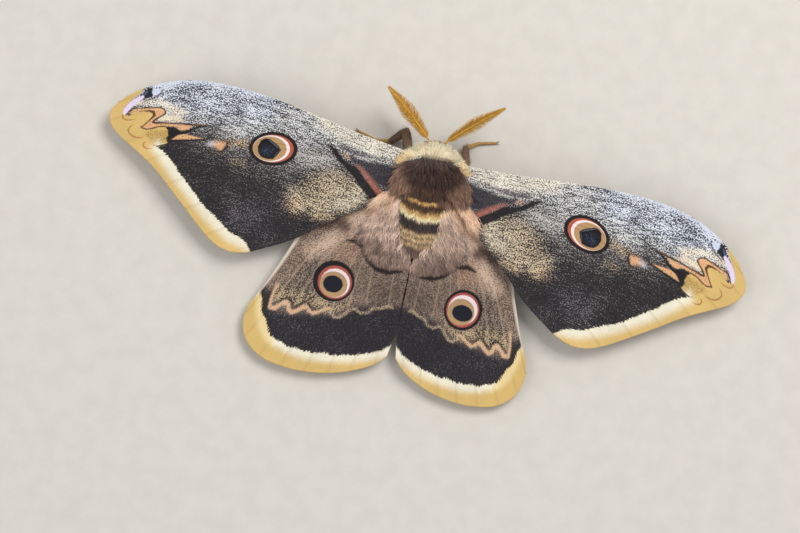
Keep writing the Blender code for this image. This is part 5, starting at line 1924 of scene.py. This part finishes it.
@dataclass
class Leg:
    """One leg: furry down to the shin, then a bare jointed foot with claws."""

    name: str
    side: Side
    joints: Points
    radii: tuple[float, ...] = (0.8, 0.95, 0.85, 0.5, 0.34, 0.26)

    def path(self) -> np.ndarray:
        """The leg's middle, from hip to claw."""
        joints = np.array(self.joints) * (self.side.sign, 1, 1)
        return np.concatenate([np.linspace(a, b, 6, endpoint=False) for a,
                               b in zip(joints, joints[1:])] + [joints[-1:]])

    def build(self) -> None:
        """Makes and dresses the leg, its claws and its fur."""
        path = self.path()
        t = np.linspace(0, len(self.radii) - 1, len(path))
        swell = 1 + 0.12 * np.sin(math.pi * (t % 1.0)) * (t < 3)
        notch = 1 - 0.18 * (np.arange(len(path)) % 2) * (t > 3.2)
        radii = np.interp(t, np.arange(len(self.radii)), self.radii) * swell * notch
        path[:, 2] = np.maximum(path[:, 2], radii + 0.02)
        leg = tube(f"{self.name}_{self.side.value}", path, radii, 14, 0.95)
        leg.data.shade_smooth()
        tone = np.where((t > 3)[:, None], np.array(linear((176, 140, 78))), np.array(linear((112, 86, 66))))
        near = np.argmin(np.linalg.norm((read_places(leg) / MM - BODY_PLACE)[:, None] - path[None], axis=2), axis=1)
        store(leg, "fur", tone[near])
        dress(leg, fur_finish(f"{leg.name}_finish", 0.1), (f"{self.name}_{self.side.value}",))
        dress(self.coat(path, radii, t), fur_finish(f"{leg.name}_fur", 0.3))
        foot, run = path[-1], unit(path[-1] - path[-3])
        across = unit(np.cross(run, (0.0, 0.0, 1.0)))
        for number, way in enumerate((-1, 1)):
            claw = np.stack([foot - run * 0.2, foot + run * 0.35 + across * 0.2 * way + (0, 0, 0.1),
                             foot + run * 0.72 + across * 0.34 * way])
            claw[:, 2] = np.maximum(claw[:, 2], (0.14, 0.12, 0.06))
            hook = tube(f"claw_{self.name}_{self.side.value}_{number}", smooth_curve(tuple(map(tuple, claw)), 7),
                        np.linspace(0.12, 0.03, 7), 8)
            hook.data.shade_smooth()
            brush = Brush(f"{hook.name}_horn")
            tint = brush.step(brush.noise(brush.objects(), 4000, 2), 0.3, 0.7)
            dress(hook, brush.surface(brush.mix(tint, linear((52, 30, 18)), linear((96, 60, 32))), 0.3, 0.0, 0.5))

    def coat(self, path: np.ndarray, radii: np.ndarray, t: np.ndarray) -> bpy.types.Object:
        """The fur round the upper leg, and short bristles on the foot.

        Args:
            path: The leg's middle.
            radii: Its radius at each point.
            t: How many joints along each point is.

        Returns:
            The fur.
        """
        rng = np.random.default_rng(len(self.name) * 7 + self.side.sign)
        count = 900
        index = np.arange(count) + 0.5
        share = ((index * GOLDEN[0]) % 1.0) ** 1.15
        angle = 2 * math.pi * ((index * GOLDEN[1]) % 1.0)
        centre, radius = at_share(path, share), np.interp(share, np.linspace(0, 1, len(radii)), radii)
        along = at_share(unit(np.gradient(path, axis=0)), share)
        across = unit(np.cross(along, (0.0, 0.0, 1.0)))
        up = np.cross(across, along)
        out = across * np.cos(angle)[:, None] + up * np.sin(angle)[:, None]
        joint = np.interp(share, np.linspace(0, 1, len(t)), t)
        shin = joint < 3
        length = np.where(shin, 1.25, 0.45) * rng.uniform(0.7, 1.2, count)
        place = centre + out * (radius * 0.9)[:, None]
        lie = unit(along + out * 0.35 + rng.normal(0, 0.15, (count, 3)))
        lie = unit(lie - out * np.sum(lie * out, axis=1, keepdims=True))
        low = place[:, 2] + length * (lie[:, 2] + 0.35 * out[:, 2]) < 0.08
        length = np.where(low, 0.12, length)
        patch = np.stack([0.02 + 0.95 * share, 0.02 + 0.95 * angle / 7], axis=1)
        roots = Roots(place, out, lie, length, np.where(shin, 0.17, 0.09), patch, rng.random(count))
        tones = Coloring(bands=(Band(40, (132, 104, 80)),), vary=0.35)
        made = grow(f"fur_{self.name}_{self.side.value}", roots, Strand(rise=0.35, droop=0.5), tones, 70)
        if not shin.all():
            colours = np.empty(len(made.data.vertices) * 4, np.float32)
            made.data.attributes["fur"].data.foreach_get("color", colours)
            colours = colours.reshape(-1, 4)
            ochre = np.repeat(~shin, len(colours) // count)
            colours[ochre, :3] = np.array(linear((206, 156, 92)))[:3] * (0.8 + 0.4 * rng.random((ochre.sum(), 1)))
            made.data.attributes["fur"].data.foreach_set("color", colours.ravel())
        return made


LEG_JOINTS: dict[tuple[str, Side], Points] = {
    ("fore_leg", Side.LEFT): (
        (1.6, -3.6, 3.4), (5.2, -2.6, 4.4), (6.4, 1.9, 3.0), (9.2, -0.6, 1.1), (12.2, -0.8, 0.5), (16.0, 0.4, 0.3)),
    ("fore_leg", Side.RIGHT): (
        (1.6, -3.6, 3.4), (4.6, -4.0, 4.6), (6.5, -2.4, 3.6), (6.0, 0.9, 1.6), (8.4, 2.3, 0.5), (11.8, 3.0, 0.3)),
    ("mid_leg", Side.LEFT): (
        (2.2, -6.6, 2.8), (5.6, -6.2, 4.4), (8.2, -6.0, 4.0), (11.0, -7.0, 1.6), (12.6, -8.0, 0.5), (15.4, -9.6, 0.3)),
    ("hind_leg", Side.LEFT): (
        (2.2, -9.0, 2.8), (5.2, -10.8, 4.0), (7.0, -12.6, 3.6), (8.6, -16.4, 1.4), (9.4, -18.2, 0.5),
        (10.6, -21.4, 0.3)),
}


@dataclass
class Eye:
    """A compound eye: a dark glossy ball of fine facets."""

    side: Side
    centre: tuple[float, float, float] = (2.15, -0.5, 5.5)
    radius: float = 1.1
    flat: float = 0.8

    def build(self) -> None:
        """Makes and dresses the eye."""
        deselect()
        bpy.ops.mesh.primitive_ico_sphere_add(subdivisions=5, radius=1)
        obj = start_piece(f"eye_ball_{self.side.value}")
        shape = read_places(obj) * (self.flat, 1.0, 1.08) * self.radius
        place_vertices(obj, shape + np.array(self.centre) * (self.side.sign, 1, 1))
        obj.data.shade_smooth()
        brush = Brush(f"eye_facets_{self.side.value}")
        facets = brush.cells(brush.objects(), 9000)
        color = brush.mix(brush.step(facets, 0.1, 0.6), linear((46, 34, 34)), linear((16, 12, 14)))
        brush.bump(facets, 0.4, 0.00002)
        dress(obj, brush.surface(color, brush.step(facets, 0.1, 0.6, 0.14, 0.26), 0.0, 0.6),
              (f"eye_{self.side.value}",))


@dataclass
class Studio:
    """A plain pale floor, soft light and the camera over the moth."""

    centre: tuple[float, float] = (-3.44, -5.3)  # place under the camera, in the model's frame
    turn: float = 10.5  # degrees that the camera is turned about the upright
    above: float = 449.0
    lens: float = 100.0
    floor_tone: Tone = (214, 208, 198)

    def build(self) -> None:
        """Makes the floor, the lights and the camera."""
        deselect()
        bpy.ops.mesh.primitive_plane_add(size=3.0, location=(0, 0, 0))
        floor = start_piece("floor")
        brush = Brush("floor_paper")
        speck = brush.noise(brush.objects(), 260, 3)
        tone = brush.mix(brush.step(speck, 0.3, 0.7), linear(self.floor_tone),
                         linear(tuple(v + 5 for v in self.floor_tone)))
        floor.data.materials.append(brush.surface(tone, 0.9))
        self.lamp("key_light", (0.22, 0.34, 0.55), 0.30, 2.9)
        self.lamp("fill_light", (-0.45, -0.15, 0.45), 0.60, 1.25)
        world = bpy.data.worlds.new("studio_air")
        world.use_nodes = True
        world.node_tree.nodes["Background"].inputs["Color"].default_value = (0.95, 0.97, 1.0, 1.0)
        world.node_tree.nodes["Background"].inputs["Strength"].default_value = 0.46
        bpy.context.scene.world = world
        bpy.context.scene.view_settings.view_transform = "Standard"
        bpy.ops.object.camera_add(location=(self.centre[0] * MM, self.centre[1] * MM, self.above * MM))
        camera = bpy.context.object
        camera.rotation_euler = (0.0, 0.0, math.radians(self.turn))
        camera.data.lens = self.lens
        camera.data.sensor_width = 36.0
        camera.data.clip_start = 0.01
        bpy.context.scene.camera = camera

    def lamp(self, name: str, place: tuple[float, float, float], size: float, power: float) -> None:
        """A soft square lamp that faces the moth.

        Args:
            name: Its name.
            place: Where it stands.
            size: Its side.
            power: Its power in watts.
        """
        bpy.ops.object.light_add(type="AREA", location=place)
        light = bpy.context.object
        light.name = name
        light.data.shape = "SQUARE"
        light.data.size = size
        light.data.energy = power
        light.rotation_euler = Vector(place).to_track_quat("Z", "Y").to_euler()


def wings() -> list[Wing]:
    """The four wings, each with its own pose.

    Returns:
        The wings.
    """
    fore = dict(kind=WingKind.FORE, plan=FOREWING, zones=FORE_ZONES, marks=FORE_MARKS, columns=224, rows=186)
    hind = dict(kind=WingKind.HIND, plan=HINDWING, zones=HIND_ZONES, marks=HIND_MARKS, columns=190, rows=150)
    hind_left, hind_right = (
        # The arc mark: the hindwing's dark line, with painted shadow of the wing hair at its inner end.
        {**hind, "marks": (Mark("arc", (38, 27, 27), (arc,), 0.55, 0.25, 1.0), *HIND_MARKS)}
        for arc in (LEFT_ARC_AND_HAIR_SHADOW, RIGHT_ARC_AND_HAIR_SHADOW)
    )
    return [
        Wing(side=Side.LEFT, hinge=(-3.4, -4.7), sweep=0.3, curl=1.9, **fore),
        Wing(side=Side.RIGHT, hinge=(5.0, -5.0), sweep=10.3, curl=0.3, **fore),
        Wing(side=Side.LEFT, spread=1.063, body_marks=LEFT_EYE.rings(), **hind_left),
        Wing(side=Side.RIGHT, spread=0.937, body_marks=RIGHT_EYE.rings(), **hind_right),
    ]


def main() -> None:
    """Builds the moth piece by piece and writes how large it came out."""
    logging.basicConfig(level=logging.INFO, format="%(name)s %(message)s")
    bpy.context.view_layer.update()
    made = wings()
    for wing in made:
        wing.build()
    Trunk().build()
    for wing, arc in zip(made[2:], (LEFT_ARC_AND_HAIR_SHADOW, RIGHT_ARC_AND_HAIR_SHADOW)):
        WingHair(wing, arc).build()
    for seed, cloak in enumerate(CLOAKS):
        cloak.build(made, seed + 20)
    for side in Side:
        Antenna(side).build()
        Eye(side).build()
        for name in ("fore_leg", "mid_leg", "hind_leg"):
            joints = LEG_JOINTS.get((name, side), LEG_JOINTS[name, Side.LEFT])
            Leg(name, side, joints).build()
    Studio().build()


if __name__ == "__main__":
    main()
